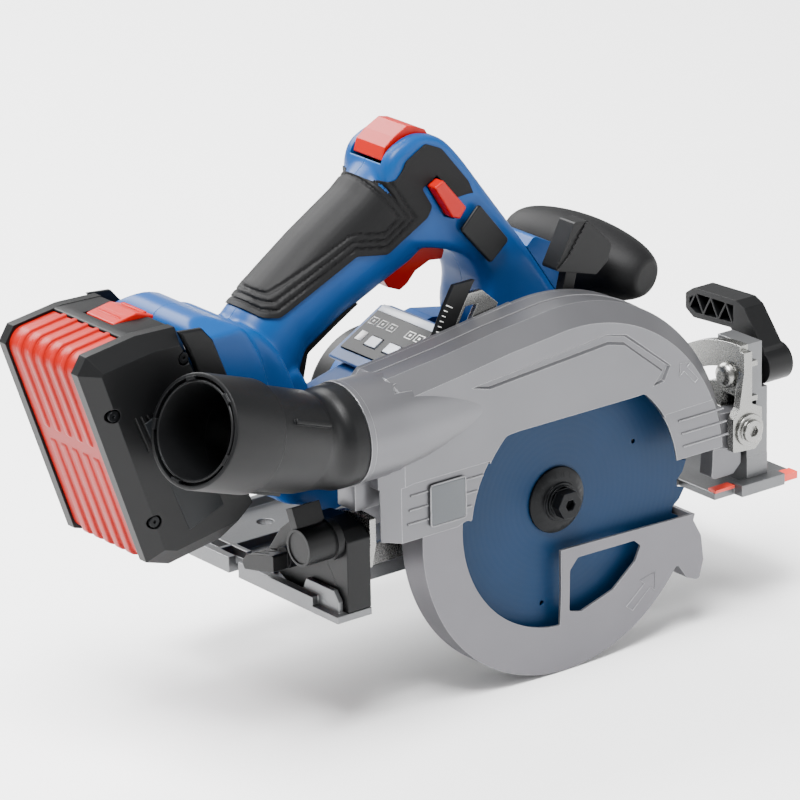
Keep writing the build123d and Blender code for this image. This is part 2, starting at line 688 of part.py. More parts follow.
def rear_quadrant():
    plate = cross_slab(bevel_sector(47.6, 22.0, 24, 104), -117.6, -114.0)
    bolt_r = hypot(knob_y - bevel_y, knob_z)
    plate -= cross_slab(bevel_sector(bolt_r + 3.2, bolt_r - 3.2, 30, 94), -120, -112)
    return plate & block(-118, -113, -68.5, 10, 8.5, 60)


def depth_arc():
    """Curved arm beside the handle that carries the depth scale, with its foot on the rear quadrant."""
    arc = Pos(hinge_x, hinge_z) * (Circle(195.0) - Circle(166.0))
    keep = loop([(-90, 12), (-30, 12), (-30, 112), (-12, 118), (-30, 134), (-56, 134), (-90, 100)])
    arm = slab(arc & keep, -44.8, -41.8)
    slot = Pos(hinge_x, hinge_z) * (Circle(184.0) - Circle(177.6))
    arm -= slab(slot & (Pos(-50, 77) * Rectangle(120, 102)), -50, -30)
    eye = slab(loop([(-36, 112), (-22, 119.5), (-17, 115.5), (-22, 108), (-34, 102)], 2.0), -44.8, -41.8)
    foot = slab(loop([(-114.0, 12), (-60, 12), (-60, 22), (-114.0, 23)]), -44.8, -41.8)
    arm -= slab(scale_face(196.5), -50, -30)
    return arm + eye + foot - disc(-23.5, 114.4, 1.9, -50, -30)


def scale_face(outer):
    """Side outline of the scale strip, along the arc's rear edge."""
    band = Pos(hinge_x, hinge_z) * (Circle(outer) - Circle(185.6))
    return band & loop([(-90, 70), (-30, 70), (-30, 140), (-60, 140), (-90, 100)])


def depth_scale():
    return slab(scale_face(196.0), -44.8, -42.2)


def depth_lever():
    """Clamp lever of the depth arc, on the arc's left side."""
    pivot_z = 62.0
    pivot_x = hinge_x - (180.8 ** 2 - (pivot_z - hinge_z) ** 2) ** 0.5
    stem = disc(pivot_x, pivot_z, 2.9, -45.0, -39.5)
    hub = disc(pivot_x, pivot_z, 8.0, -41.2, -31.0)
    arm = slab(loop([(pivot_x - 2, pivot_z + 7.5), (pivot_x - 34, pivot_z + 1), (pivot_x - 36, pivot_z - 6),
                     (pivot_x - 2, pivot_z - 7.5)], 2.0), -40.0, -33.0)
    return stem + hub + arm


# ---- base plate and bevel parts ----
def base_plate():
    outline = loop([(plate_rear_x, ear_y), (plate_rear_x, plate_left_y), (plate_front_x, plate_left_y),
                    (plate_front_x, -60), (140.4, -60), (140.4, -68), (112.5, -68), (112.5, -62), (slot_front_x, -62),
                    (slot_front_x, plate_slot_y), (slot_rear_x, plate_slot_y), (slot_rear_x, ear_y)])
    sheet = extrude(outline, amount=plate_t)
    sheet -= block(-150, plate_rear_x + 7, 8.5, 16, -1, 20)
    ribs = []
    for x0, x1, y0 in ((plate_rear_x, plate_rear_x + 4.5, -50), (plate_rear_x + 11, plate_rear_x + 14, -5),
                       (plate_front_x - 8, plate_front_x - 4, -38)):
        ribs.append(block(x0, x1, y0, 8.5, 0, plate_rib_z) + block(x0, x1, 16, plate_left_y, 0, plate_rib_z))
    for y0, y1 in ((plate_left_y - 4, plate_left_y), (28, 30.5)):
        ribs.append(block(plate_rear_x, plate_front_x, y0, y1, 0, plate_rib_z))
    ribs.append(block(-114, 98, plate_slot_y, plate_slot_y + 2.4, 0, 7.0))
    for r in ribs:
        sheet += r
    for x, y in ((60, 52), (-90, 52)):
        sheet -= Pos(x, y, 0) * Cylinder(guide_hole_r, 40)
    sheet -= block(-33, 33, plate_slot_y - 1, -29.4, -1, 20)
    wall = cross_slab(loop([(-66, 0), (-66, 9), (-62, 14), (-41, 14), (-38, 8), (-38, 0)]), -135.0, -132.3)
    ear_step = block(112.5, 140.4, -68, -60, 0, 6.0)
    return sheet + wall + ear_step


def rear_bevel_block():
    face = loop([(-69.5, plate_t), (-69.5, 39), (-64, 43.5), (-52, 46), (-40, 45), (-27, 39), (-17, 31), (-8, 19),
                 (-8, 12), (-26, plate_t)], 1.2)
    body = cross_slab(face, -132, -118.4)
    body -= rod(knob_y, knob_z, 3.05, -140, -110)
    return body - rod(-30, 22, 3.05, -140, -128)


def front_bevel_bracket():
    foot = block(120.8, 134, -62, -40, 6.0, 17) + block(120.8, 134, -60, -40, plate_t, 7)
    tall = block(120.8, 130.4, -61.8, -40, 14, 76)
    tall += block(126.8, 134, -61.8, -40, 14, 52)
    bracket = foot + tall
    bracket -= disc(hinge_x, hinge_z, 9.2, -63, -45)
    bracket -= block(110, 126.8, -63, -43.6, 22.5, 46.5)
    bracket -= rod(bevel_bolt_y, bevel_bolt_z, 3.1, 100, 160)
    return bracket


def cut_marks():
    return [block(99.9, 112.3, -62.6, -57, plate_t, plate_t + 1.6),
            block(140.6, 150, -66.5, -60.1, 0.6, plate_t + 0.8)]


def front_clamp_bolt():
    dome = rod(bevel_bolt_y, bevel_bolt_z, 6.6, 110.6, 115.0)
    dome = fillet(dome.faces().sort_by(Axis.X)[0].edges(), 4.0)
    return dome + rod(bevel_bolt_y, bevel_bolt_z, 3.0, 115.0, 134)


def front_bevel_lever():
    boss = rod(bevel_bolt_y, bevel_bolt_z, 9.4, 134.2, 149.6) - rod(bevel_bolt_y, bevel_bolt_z, 3.02, 120, 134.2)
    arm_face = loop([(-63, 60), (-58, 70), (-44, 87), (-38, 89.5), (-6, 88), (0, 84), (0, 76), (-6, 72.5), (-34, 74.5),
                     (-45, 60)], 1.5)
    arm = cross_slab(arm_face, 134.4, 147.0)
    pockets = cross_slab(loop([(-36, 77.4), (-8, 75.4), (-3, 77.6), (-3, 82), (-8, 85.5), (-36, 86.5)]), 133, 144.5)
    webs = [Pos(139.3, -33 + 5.6 * k, 81) * Rot(30 if k % 2 else -30, 0, 0) * Box(10.4, 1.1, 15) for k in range(6)]
    inside = arm - pockets
    for web in webs:
        inside += web & pockets & arm
    return inside + boss


def rear_knob():
    body = rod(knob_y, knob_z, 9.0, -152, -133.2) + rod(knob_y, knob_z, 10.0, -136, -132.2)
    wing = cross_slab(Pos(knob_y + 4, knob_z + 8) * Rot(0, 0, -24) * Rectangle(5.2, 20), -151, -135)
    stem = rod(knob_y, knob_z, 2.95, -132.2, -113.0) + rod(knob_y, knob_z, 5.0, -113.8, -112.4)
    return body + wing + stem - rod(knob_y, knob_z, 7.6, -153, -151.4)


def rear_stop_lever():
    hub = rod(-30, 22, 5.4, -139.5, -132.4) + rod(-30, 22, 2.95, -132.4, -129)
    pad = cross_slab(loop([(-33, 26), (-12, 20.5), (-8, 16), (-10, 12.6), (-22, 15), (-33, 17.5)], 1.0), -148, -135)
    for k in range(3):
        pad -= Pos(-144 + 3.6 * k, -18, 22.2) * Rot(-15, 0, 0) * Box(1.4, 14, 3)
    return hub + pad


# ---- dust port ----
port_tilt = 20.0
port_yaw = 9.0
mitre_x = -146.0


def port_tube(r, start, end):
    """Cylinder along the raised port axis, between two distances behind the mitre point."""
    length = end - start
    tube = Cylinder(r, length, align=(Align.CENTER, Align.CENTER, Align.MIN))
    return (Pos(mitre_x, blade_y, outlet_z) * Rot(0, 0, port_yaw) * Rot(0, -90 + port_tilt, 0) * Pos(0, 0, start) * tube)


def elbow_tube(r, first, last):
    """Cylinder that leaves the guard's outlet along X and bends gently onto the port axis."""
    far = port_tube(1.0, last - 1, last).faces().sort_by(Axis.X)[0].center()
    path = FilletPolyline((first, blade_y, outlet_z), (mitre_x, blade_y, outlet_z), far, radius=60)
    return sweep(Plane(origin=(first, blade_y, outlet_z), z_dir=(-1, 0, 0)) * Circle(r), path=path)


def dust_elbow():
    elbow = elbow_tube(outlet_r, outlet_x - 0.6, 46)
    for a in (60, 180, 300):
        elbow += port_rib(a)
    elbow -= elbow_tube(outlet_r - 2.3, outlet_x + 2, 50)
    spigot = ring_x(outlet_r - 2.0, outlet_r - 4.2, outlet_x - 6, outlet_x - 0.7)
    return elbow + spigot + ring_x(outlet_r - 2.4, outlet_r - 4.2, outlet_x - 0.9, outlet_x + 9)


def ring_x(outer, inner, x0, x1):
    return rod(blade_y, outlet_z, outer, x0, x1) - rod(blade_y, outlet_z, inner, x0 - 1, x1 + 1)


def port_rib(angle):
    bar = Pos(outlet_r + 0.3, 0, 8) * Box(2.2, 2.4, 26, align=(Align.CENTER, Align.CENTER, Align.MIN))
    return Pos(mitre_x, blade_y, outlet_z) * Rot(0, 0, port_yaw) * Rot(0, -90 + port_tilt, 0) * Rot(0, 0, angle) * bar


def dust_connector():
    """Wide rear socket of the port, fixed on the elbow."""
    outer = port_tube(26.8, 44.0, 78.0)
    outer = chamfer(outer.faces().sort_by(Axis.X)[0].edges(), 0.8)
    bore = port_tube(22.0, 46, 82) + port_tube(outlet_r + 0.1, 30, 46.3)
    step = port_tube(25.2, 75, 80) - port_tube(23.4, 74, 81)
    return outer - bore - step


def grouped(shape):
    """Every result as one compound, so that lists of fasteners share a file."""
    return Compound(children=list(shape)) if isinstance(shape, (list, ShapeList)) else shape


builders = {
    "saw_blade": saw_blade, "spindle": spindle, "inner_flange": inner_flange, "outer_flange": outer_flange,
    "blade_bolt": blade_bolt, "spindle_gear": spindle_gear, "rotor_shaft": rotor_shaft, "rotor_core": rotor_core,
    "cooling_fan": cooling_fan, "stator": stator, "bearings": bearings, "upper_guard": upper_guard,
    "guard_back_plate": guard_back_plate, "hinge_lug": hinge_lug, "guard_spring": guard_spring, "guard_circlip": guard_circlip,
    "gear_case": gear_case, "lower_guard": lower_guard,
    "handle_shell_right": lambda: handle_shell(-1), "handle_shell_left": lambda: handle_shell(1),
    "trigger": trigger, "lock_off_slider": lock_off_slider,
    "side_button": side_button_shape, "grip_overmould": lambda: [grip_overmould(), grip_pad()],
    "connectivity_cover": connectivity_cover, "motor_housing": motor_housing, "motor_end_cap": motor_end_cap,
    "aux_neck": aux_neck, "aux_grip": grip_form, "spindle_lock": spindle_lock, "panel_frame": panel_frame,
    "panel_face": panel_face, "mode_button_right": lambda: mode_button(button_places[0]),
    "mode_button_left": lambda: mode_button(button_places[1]),
    "battery_core": battery_core, "battery_shell_right": lambda: battery_shell(-1),
    "battery_shell_left": lambda: battery_shell(1), "battery_screws": battery_screws, "battery_cells": battery_cells,
    "battery_latch": battery_latch, "battery_rail": battery_rail,
    "controller_board": controller_board, "trigger_switch": trigger_switch, "housing_screws": housing_screws,
    "front_quadrant": front_quadrant, "hinge_pin": hinge_pin, "rear_quadrant": rear_quadrant, "depth_arc": depth_arc,
    "depth_scale": depth_scale, "depth_lever": depth_lever, "base_plate": base_plate,
    "rear_bevel_block": rear_bevel_block, "front_bevel_bracket": front_bevel_bracket, "cut_marks": cut_marks,
    "front_clamp_bolt": front_clamp_bolt, "front_bevel_lever": front_bevel_lever,
    "rear_knob": rear_knob, "rear_stop_lever": rear_stop_lever, "dust_elbow": dust_elbow,
    "dust_connector": dust_connector,
}

os.makedirs("parts", exist_ok=True)
for name, build in builders.items():
    export_step(grouped(build()), f"parts/{name}.step")
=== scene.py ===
import bpy, bmesh
from math import radians, degrees, sin, cos, asin, pi, hypot
from mathutils import Vector, Matrix


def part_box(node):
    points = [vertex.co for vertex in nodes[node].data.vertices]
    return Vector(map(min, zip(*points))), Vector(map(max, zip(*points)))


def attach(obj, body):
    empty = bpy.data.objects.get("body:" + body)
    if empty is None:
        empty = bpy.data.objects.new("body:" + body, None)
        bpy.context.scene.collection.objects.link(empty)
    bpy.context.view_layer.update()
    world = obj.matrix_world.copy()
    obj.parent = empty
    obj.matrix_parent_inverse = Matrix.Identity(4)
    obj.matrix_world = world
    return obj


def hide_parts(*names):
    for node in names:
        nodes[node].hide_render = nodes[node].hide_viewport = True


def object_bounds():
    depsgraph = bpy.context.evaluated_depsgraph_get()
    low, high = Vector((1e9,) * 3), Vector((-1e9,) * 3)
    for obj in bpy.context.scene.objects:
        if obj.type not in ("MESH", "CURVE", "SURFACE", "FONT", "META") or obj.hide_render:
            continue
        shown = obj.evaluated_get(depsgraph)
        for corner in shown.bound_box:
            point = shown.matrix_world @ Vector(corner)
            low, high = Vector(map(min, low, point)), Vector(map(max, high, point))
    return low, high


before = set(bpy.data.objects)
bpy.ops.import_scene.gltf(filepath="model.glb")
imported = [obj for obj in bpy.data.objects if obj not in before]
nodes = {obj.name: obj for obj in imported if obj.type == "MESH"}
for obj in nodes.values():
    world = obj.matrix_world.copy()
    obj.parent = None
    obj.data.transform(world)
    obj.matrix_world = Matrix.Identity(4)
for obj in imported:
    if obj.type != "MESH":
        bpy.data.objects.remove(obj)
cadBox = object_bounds()
mm = 0.001
print("frame loaded,", len(nodes), "nodes")

# where things are, in millimetres: X forward, Y to the left, Z up from the sole
axleZ = 25.5
bladeY = -60.0
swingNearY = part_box("lower_guard")[0].y / mm
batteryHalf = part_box("battery_shell_left")[1].y / mm
packLean = radians(21.9)


def linear(hexColour):
    channels = [int(hexColour[i:i + 2], 16) / 255 for i in (0, 2, 4)]
    return [c / 12.92 if c <= 0.04045 else ((c + 0.055) / 1.055) ** 2.4 for c in channels] + [1.0]


def addNode(tree, kind, settings=None, links=None):
    new = tree.nodes.new(kind)
    for key, value in (settings or {}).items():
        if key in new.inputs:
            new.inputs[key].default_value = value
        else:
            setattr(new, key, value)
    for key, source in (links or {}).items():
        tree.links.new(source, new.inputs[key])
    return new


def link(obj):
    bpy.context.scene.collection.objects.link(obj)
    return obj


def finalMesh(obj):
    graph = bpy.context.evaluated_depsgraph_get()
    return bpy.data.meshes.new_from_object(obj.evaluated_get(graph))


def roundLoop(points, radius, steps=5):
    # the same closed outline with its corners turned into small curves
    result = []
    count = len(points)
    for i, p in enumerate(points):
        a, b, c = Vector(points[i - 1]), Vector(p), Vector(points[(i + 1) % count])
        back = min(radius, 0.45 * (a - b).length)
        ahead = min(radius, 0.45 * (c - b).length)
        start, end = b + (a - b).normalized() * back, b + (c - b).normalized() * ahead
        for k in range(steps + 1):
            t = k / steps
            result.append(tuple(start * (1 - t) ** 2 + b * 2 * t * (1 - t) + end * t * t))
    return result


def outlineMesh(loops, yNear, yFar, rim=0.0, rimSteps=3):
    # outlines in X and Z made solid between two Y values, with a rounded rim
    curve = bpy.data.curves.new("outline", "CURVE")
    curve.dimensions, curve.fill_mode = "2D", "BOTH"
    curve.extrude = ((yFar - yNear) / 2 - rim) * mm
    curve.bevel_depth, curve.bevel_resolution, curve.offset = rim * mm, rimSteps, -rim * mm
    for points in loops:
        spline = curve.splines.new("POLY")
        spline.points.add(len(points) - 1)
        for target, (x, z) in zip(spline.points, points):
            target.co = (x * mm, z * mm, 0, 1)
        spline.use_cyclic_u = True
    holder = link(bpy.data.objects.new("outline", curve))
    bpy.context.view_layer.update()
    mesh = finalMesh(holder)
    bpy.data.objects.remove(holder)
    mesh.transform(Matrix.Translation((0, (yNear + yFar) / 2 * mm, 0)) @ Matrix.Rotation(radians(90), 4,
                                                                                         "X"))
    tidyMesh(mesh)
    return mesh


def tidyMesh(mesh, gap=0.00002):
    work = bmesh.new()
    work.from_mesh(mesh)
    bmesh.ops.remove_doubles(work, verts=work.verts, dist=gap)
    bmesh.ops.recalc_face_normals(work, faces=work.faces)
    work.to_mesh(mesh)
    work.free()


def boxMesh(size, place=(0, 0, 0), turn=None, rim=0.0):
    # a small block in millimetres with broken edges
    work = bmesh.new()
    bmesh.ops.create_cube(work, size=1.0)
    bmesh.ops.scale(work, vec=Vector(size) * mm, verts=work.verts)
    if rim:
        bmesh.ops.bevel(work, geom=work.edges, offset=rim * mm, segments=2, affect="EDGES", profile=0.5)
    matrix = Matrix.Translation(Vector(place) * mm) @ (turn.to_4x4() if turn else Matrix.Identity(4))
    bmesh.ops.transform(work, matrix=matrix, verts=work.verts)
    mesh = bpy.data.meshes.new("block")
    work.to_mesh(mesh)
    work.free()
    return mesh


def latheMesh(profile, origin, axis, segments=64):
    # a turned form: profile holds (distance along the axis, radius) in millimetres
    axis = Vector(axis).normalized()
    turn = Vector((0, 0, 1)).rotation_difference(axis).to_matrix().to_4x4()
    work = bmesh.new()
    rings = []
    for along, radius in profile:
        rings.append([work.verts.new((radius * cos(2 * pi * k / segments) * mm,
                                      radius * sin(2 * pi * k / segments) * mm,
                                      along * mm)) for k in range(segments)])
    for a, b in zip(rings, rings[1:]):
        for k in range(segments):
            work.faces.new((a[k], a[(k + 1) % segments], b[(k + 1) % segments], b[k]))
    if profile[0] != profile[-1]:
        work.faces.new(rings[0][::-1])
        work.faces.new(rings[-1])
    else:
        bmesh.ops.remove_doubles(work, verts=work.verts, dist=1e-7)
    bmesh.ops.recalc_face_normals(work, faces=work.faces)
    bmesh.ops.transform(work, matrix=Matrix.Translation(Vector(origin) * mm) @ turn, verts=work.verts)
    mesh = bpy.data.meshes.new("turned")
    work.to_mesh(mesh)
    work.free()
    return mesh


def tubeMesh(points, radius, closed=False, sides=2):
    # a bead that follows points given in millimetres
    curve = bpy.data.curves.new("bead", "CURVE")
    curve.dimensions, curve.bevel_depth, curve.bevel_resolution = "3D", radius * mm, sides
    curve.use_fill_caps = True
    spline = curve.splines.new("POLY")
    spline.points.add(len(points) - 1)
    for target, p in zip(spline.points, points):
        target.co = (p[0] * mm, p[1] * mm, p[2] * mm, 1)
    spline.use_cyclic_u = closed
    holder = link(bpy.data.objects.new("bead", curve))
    bpy.context.view_layer.update()
    mesh = finalMesh(holder)
    bpy.data.objects.remove(holder)
    tidyMesh(mesh)
    return mesh


def joined(meshes):
    work = bmesh.new()
    for mesh in meshes:
        work.from_mesh(mesh)
    mesh = bpy.data.meshes.new("joined")
    work.to_mesh(mesh)
    work.free()
    return mesh


def moulded(meshes, voxel, passes, cuts=()):
    # several solids melted into one moulding with soft inner and outer corners, then cut
    holder = link(bpy.data.objects.new("moulding", joined(meshes)))
    remesh = holder.modifiers.new("remesh", "REMESH")
    remesh.mode, remesh.voxel_size = "VOXEL", voxel * mm
    smooth = holder.modifiers.new("smooth", "SMOOTH")
    smooth.factor, smooth.iterations = 0.5, passes
    bpy.context.view_layer.update()
    mesh = finalMesh(holder)
    bpy.data.objects.remove(holder)
    return cutMesh(mesh, cuts)


def cutMesh(mesh, cuts):
    for cut in cuts:
        holder = link(bpy.data.objects.new("body", mesh))
        tool = link(bpy.data.objects.new("tool", cut))
        boolean = holder.modifiers.new("cut", "BOOLEAN")
        boolean.operation, boolean.object, boolean.solver = "DIFFERENCE", tool, "EXACT"
        bpy.context.view_layer.update()
        mesh = finalMesh(holder)
        bpy.data.objects.remove(holder)
        bpy.data.objects.remove(tool)
    return mesh


def addPiece(name, mesh, body, finish, replaced=(), smoothAngle=35):
    piece = link(bpy.data.objects.new(name, mesh))
    mesh.materials.clear()
    mesh.materials.append(finish)
    mesh.shade_smooth()
    mesh.set_sharp_from_angle(angle=radians(smoothAngle))
    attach(piece, body)
    if replaced:
        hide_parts(*replaced)
    return piece


def makeFinish(name, look):
    # look: two colours, roughness range, grain size in mm and its depth, a paler edge colour that is partly
    # wear and partly a painted highlight, and the edge width in mm
    material = bpy.data.materials.new(name)
    material.use_nodes = True
    tree = material.node_tree
    tree.nodes.clear()
    place = addNode(tree, "ShaderNodeTexCoord").outputs["Object"]
    patch = addNode(tree, "ShaderNodeTexNoise", {"Scale": 1000 / look.get("patch", 35), "Detail": 3.0},
                    {"Vector": place})
    blend = addNode(tree, "ShaderNodeMix", {"data_type": "RGBA"}, {"Factor": patch.outputs["Fac"]})
    blend.inputs[6].default_value = linear(look["colour"])
    blend.inputs[7].default_value = linear(look["shade"])
    grain = addNode(tree, "ShaderNodeTexNoise", {"Scale": 1000 / look["grain"], "Detail": 4.0,
                                                 "Roughness": 0.6},
                    {"Vector": place})
    height = grain.outputs["Fac"]
    if "rings" in look:     # turning marks round an axle along Y
        offset = addNode(tree, "ShaderNodeVectorMath", {"operation": "SUBTRACT"}, {0: place})
        offset.inputs[1].default_value = Vector(look["ringCentre"]) * mm
        wave = addNode(tree, "ShaderNodeTexWave", {"wave_type": "RINGS", "rings_direction": "Y",
                                                   "Scale": 1000 / look["rings"] / 6.283,
                                                   "Distortion": 0.4, "Detail": 2.0},
                                                   {"Vector": offset.outputs[0]})
        height = addNode(tree, "ShaderNodeMath", {"operation": "ADD"},
                         {0: height, 1: wave.outputs["Fac"]}).outputs[0]
    if "brush" in look:     # long fine scratches along one direction
        stretch = addNode(tree, "ShaderNodeMapping", {"Scale": look["brush"]}, {"Vector": place})
        lines = addNode(tree, "ShaderNodeTexNoise", {"Scale": 1000 / look["grain"], "Detail": 3.0},
                        {"Vector": stretch.outputs[0]})
        height = addNode(tree, "ShaderNodeMath", {"operation": "ADD"},
                         {0: height, 1: lines.outputs["Fac"]}).outputs[0]
    rough = addNode(tree, "ShaderNodeMapRange", {"To Min": look["rough"][0], "To Max": look["rough"][1]},
                    {"Value": height})
    edge = addNode(tree, "ShaderNodeBevel", {"samples": 4, "Radius": look.get("edge", 0.5) * mm})
    face = addNode(tree, "ShaderNodeNewGeometry")
    turn = addNode(tree, "ShaderNodeVectorMath", {"operation": "DOT_PRODUCT"},
                   {0: edge.outputs[0], 1: face.outputs["Normal"]})
    # every edge found from the bevel normal is painted a paler colour: partly wear, partly a painted
    # highlight
    edgeWearAndHighlight = addNode(tree, "ShaderNodeMapRange", {"From Min": 0.995, "From Max": 0.86,
                                                "To Max": look.get("wear", 0.5)},
                   {"Value": turn.outputs["Value"]})
    edgeWearAndHighlightMix = addNode(tree, "ShaderNodeMix", {"data_type": "RGBA"}, {"Factor": edgeWearAndHighlight.outputs[0]})
    tree.links.new(blend.outputs[2], edgeWearAndHighlightMix.inputs[6])
    edgeWearAndHighlightMix.inputs[7].default_value = linear(look["edgeWearAndHighlight"])
    bump = addNode(tree, "ShaderNodeBump", {"Strength": look["depth"], "Distance": look["grain"] * mm * 0.5},
                   {"Height": height, "Normal": edge.outputs[0]})
    shader = addNode(tree, "ShaderNodeBsdfPrincipled", {"Metallic": look.get("metal", 0.0)},
                     {"Base Color": edgeWearAndHighlightMix.outputs[2], "Roughness": rough.outputs[0],
                      "Normal": bump.outputs[0]})
    if "ior" in look:
        shader.inputs["IOR"].default_value = look["ior"]
    shader.inputs["Specular IOR Level"].default_value = look.get("sheenLevel", 0.5)
    if "coat" in look:
        shader.inputs["Coat Weight"].default_value = look["coat"]
        shader.inputs["Coat Roughness"].default_value = 0.25
    addNode(tree, "ShaderNodeOutputMaterial", None, {"Surface": shader.outputs[0]})
    return material


looks = {
    # glass filled nylon, moulded in a spark eroded tool: even satin sheen, edges painted paler, partly as
    # wear from hands and partly as a painted highlight
    "mouldedNylonBlue": dict(colour="063e78", shade="053566", rough=(0.3, 0.44), grain=0.5, depth=0.12,
                             edgeWearAndHighlight="1f66a0", sheenLevel=0.17, ior=1.53),
    # the same nylon with carbon black: dark grey with a soft sheen
    "mouldedNylonBlack": dict(colour="08090a", shade="060607", rough=(0.36, 0.5), grain=0.45, depth=0.15,
                              edgeWearAndHighlight="1c1d1f", sheenLevel=0.17, ior=1.53),
    # thermoplastic elastomer grip: dull and slightly pebbled, grain drawn coarser than the real 0.1 mm
    "mouldedElastomer": dict(colour="0b0b0c", shade="080809", rough=(0.5, 0.66), grain=0.4, depth=0.35,
                             edgeWearAndHighlight="1a1a1b", sheenLevel=0.17, ior=1.5),
    # ABS keys and levers: brighter gloss, clean red
    "mouldedAbsRed": dict(colour="a00800", shade="920600", rough=(0.25, 0.36), grain=0.6, depth=0.06,
                          edgeWearAndHighlight="b82414", sheenLevel=0.17, ior=1.53),
    # battery red: same ABS with a coarser tool texture
    "mouldedAbsBatteryRed": dict(colour="960600", shade="840500", rough=(0.32, 0.46), grain=0.5, depth=0.12,
                                 edgeWearAndHighlight="b01c0e", sheenLevel=0.17, ior=1.53),
    # die cast magnesium under silver paint: fine orange peel and metallic flake
    "paintedCastSilver": dict(colour="626265", shade="58585b", rough=(0.34, 0.46), grain=0.7, depth=0.10,
                              edgeWearAndHighlight="d4d4d6", metal=0.7, coat=0.1),
    # bead blasted die cast aluminium: greyer and more matt than the paint
    "blastedAluminium": dict(colour="68676b", shade="5e5d61", rough=(0.4, 0.54), grain=0.4, depth=0.16,
                             edgeWearAndHighlight="b8b8bb", metal=0.7),
    # pressure cast aluminium plate with a machined sole: brighter, with faint flow marks
    "castAluminiumPlate": dict(colour="6c6d6e", shade="5a5b5d", rough=(0.3, 0.48), grain=1.2, depth=0.16,
                               edgeWearAndHighlight="b4b4b4", metal=0.75),
    # non-stick lacquer over a ground steel disc: deep blue, with the grinding rings showing through
    "lacqueredSteelBlue": dict(colour="002646", shade="00203c", rough=(0.36, 0.48), grain=0.35, depth=0.10,
                               edgeWearAndHighlight="10406a",
                               rings=1.6, ringCentre=(0, 0, 25.5), sheenLevel=0.17, ior=1.5),
    # turned and ground steel
    "turnedSteel": dict(colour="a8a9ab", shade="8f9092", rough=(0.22, 0.36), grain=0.3, depth=0.12,
                        edgeWearAndHighlight="e0e0e0", metal=1.0,
                        rings=0.6, ringCentre=(0, 0, 25.5)),
    # steel with black oxide: nearly black with a faint oily sheen
    "oxideSteel": dict(colour="0a0b0c", shade="101113", rough=(0.3, 0.44), grain=0.35, depth=0.12,
                       edgeWearAndHighlight="303235", metal=0.4, sheenLevel=0.17, ior=1.5),
    # zinc plated pressed steel: light, a little cloudy
    "zincPlatedSteel": dict(colour="8a8a88", shade="767673", rough=(0.2, 0.34), grain=0.8, depth=0.08,
                            edgeWearAndHighlight="d0d0ce", metal=0.95),
    # laminated iron and copper windings
    "laminatedIron": dict(colour="6a4a36", shade="4c3426", rough=(0.4, 0.6), grain=0.6, depth=0.3,
                          edgeWearAndHighlight="a87a50", metal=0.6,
                          brush=(1.0, 12.0, 1.0)),
    # shrink wrap on cells and solder mask on the board
    "shrinkWrapGreen": dict(colour="2f6b4a", shade="28603f", rough=(0.25, 0.35), grain=0.6, depth=0.05,
                            edgeWearAndHighlight="5fa07c", ior=1.5),
    # printed polycarbonate foil over the keys: dark, smooth
    "printedFoil": dict(colour="101214", shade="0d0f11", rough=(0.4, 0.5), grain=0.5, depth=0.04,
                        edgeWearAndHighlight="2c2f32", sheenLevel=0.12, ior=1.58),
    "paleFoil": dict(colour="a3a9b2", shade="989ea8", rough=(0.28, 0.36), grain=0.5, depth=0.04,
                     edgeWearAndHighlight="c0c4ca", ior=1.58),
    # anodised badge plate, left blank
    "badgeGrey": dict(colour="4a4d50", shade="44474a", rough=(0.34, 0.44), grain=0.4, depth=0.08,
                      edgeWearAndHighlight="707376", metal=0.4),
    # screen printed ink
    "printedInkWhite": dict(colour="e4e4e0", shade="d8d8d4", rough=(0.4, 0.5), grain=0.3, depth=0.04,
                            edgeWearAndHighlight="ffffff", ior=1.5),
    "printedInkRed": dict(colour="e03a28", shade="d03020", rough=(0.35, 0.45), grain=0.4, depth=0.06,
                          edgeWearAndHighlight="f08070", ior=1.5),
}
finishes = {name: makeFinish(name, look) for name, look in looks.items()}
print("finishes made:", len(finishes))

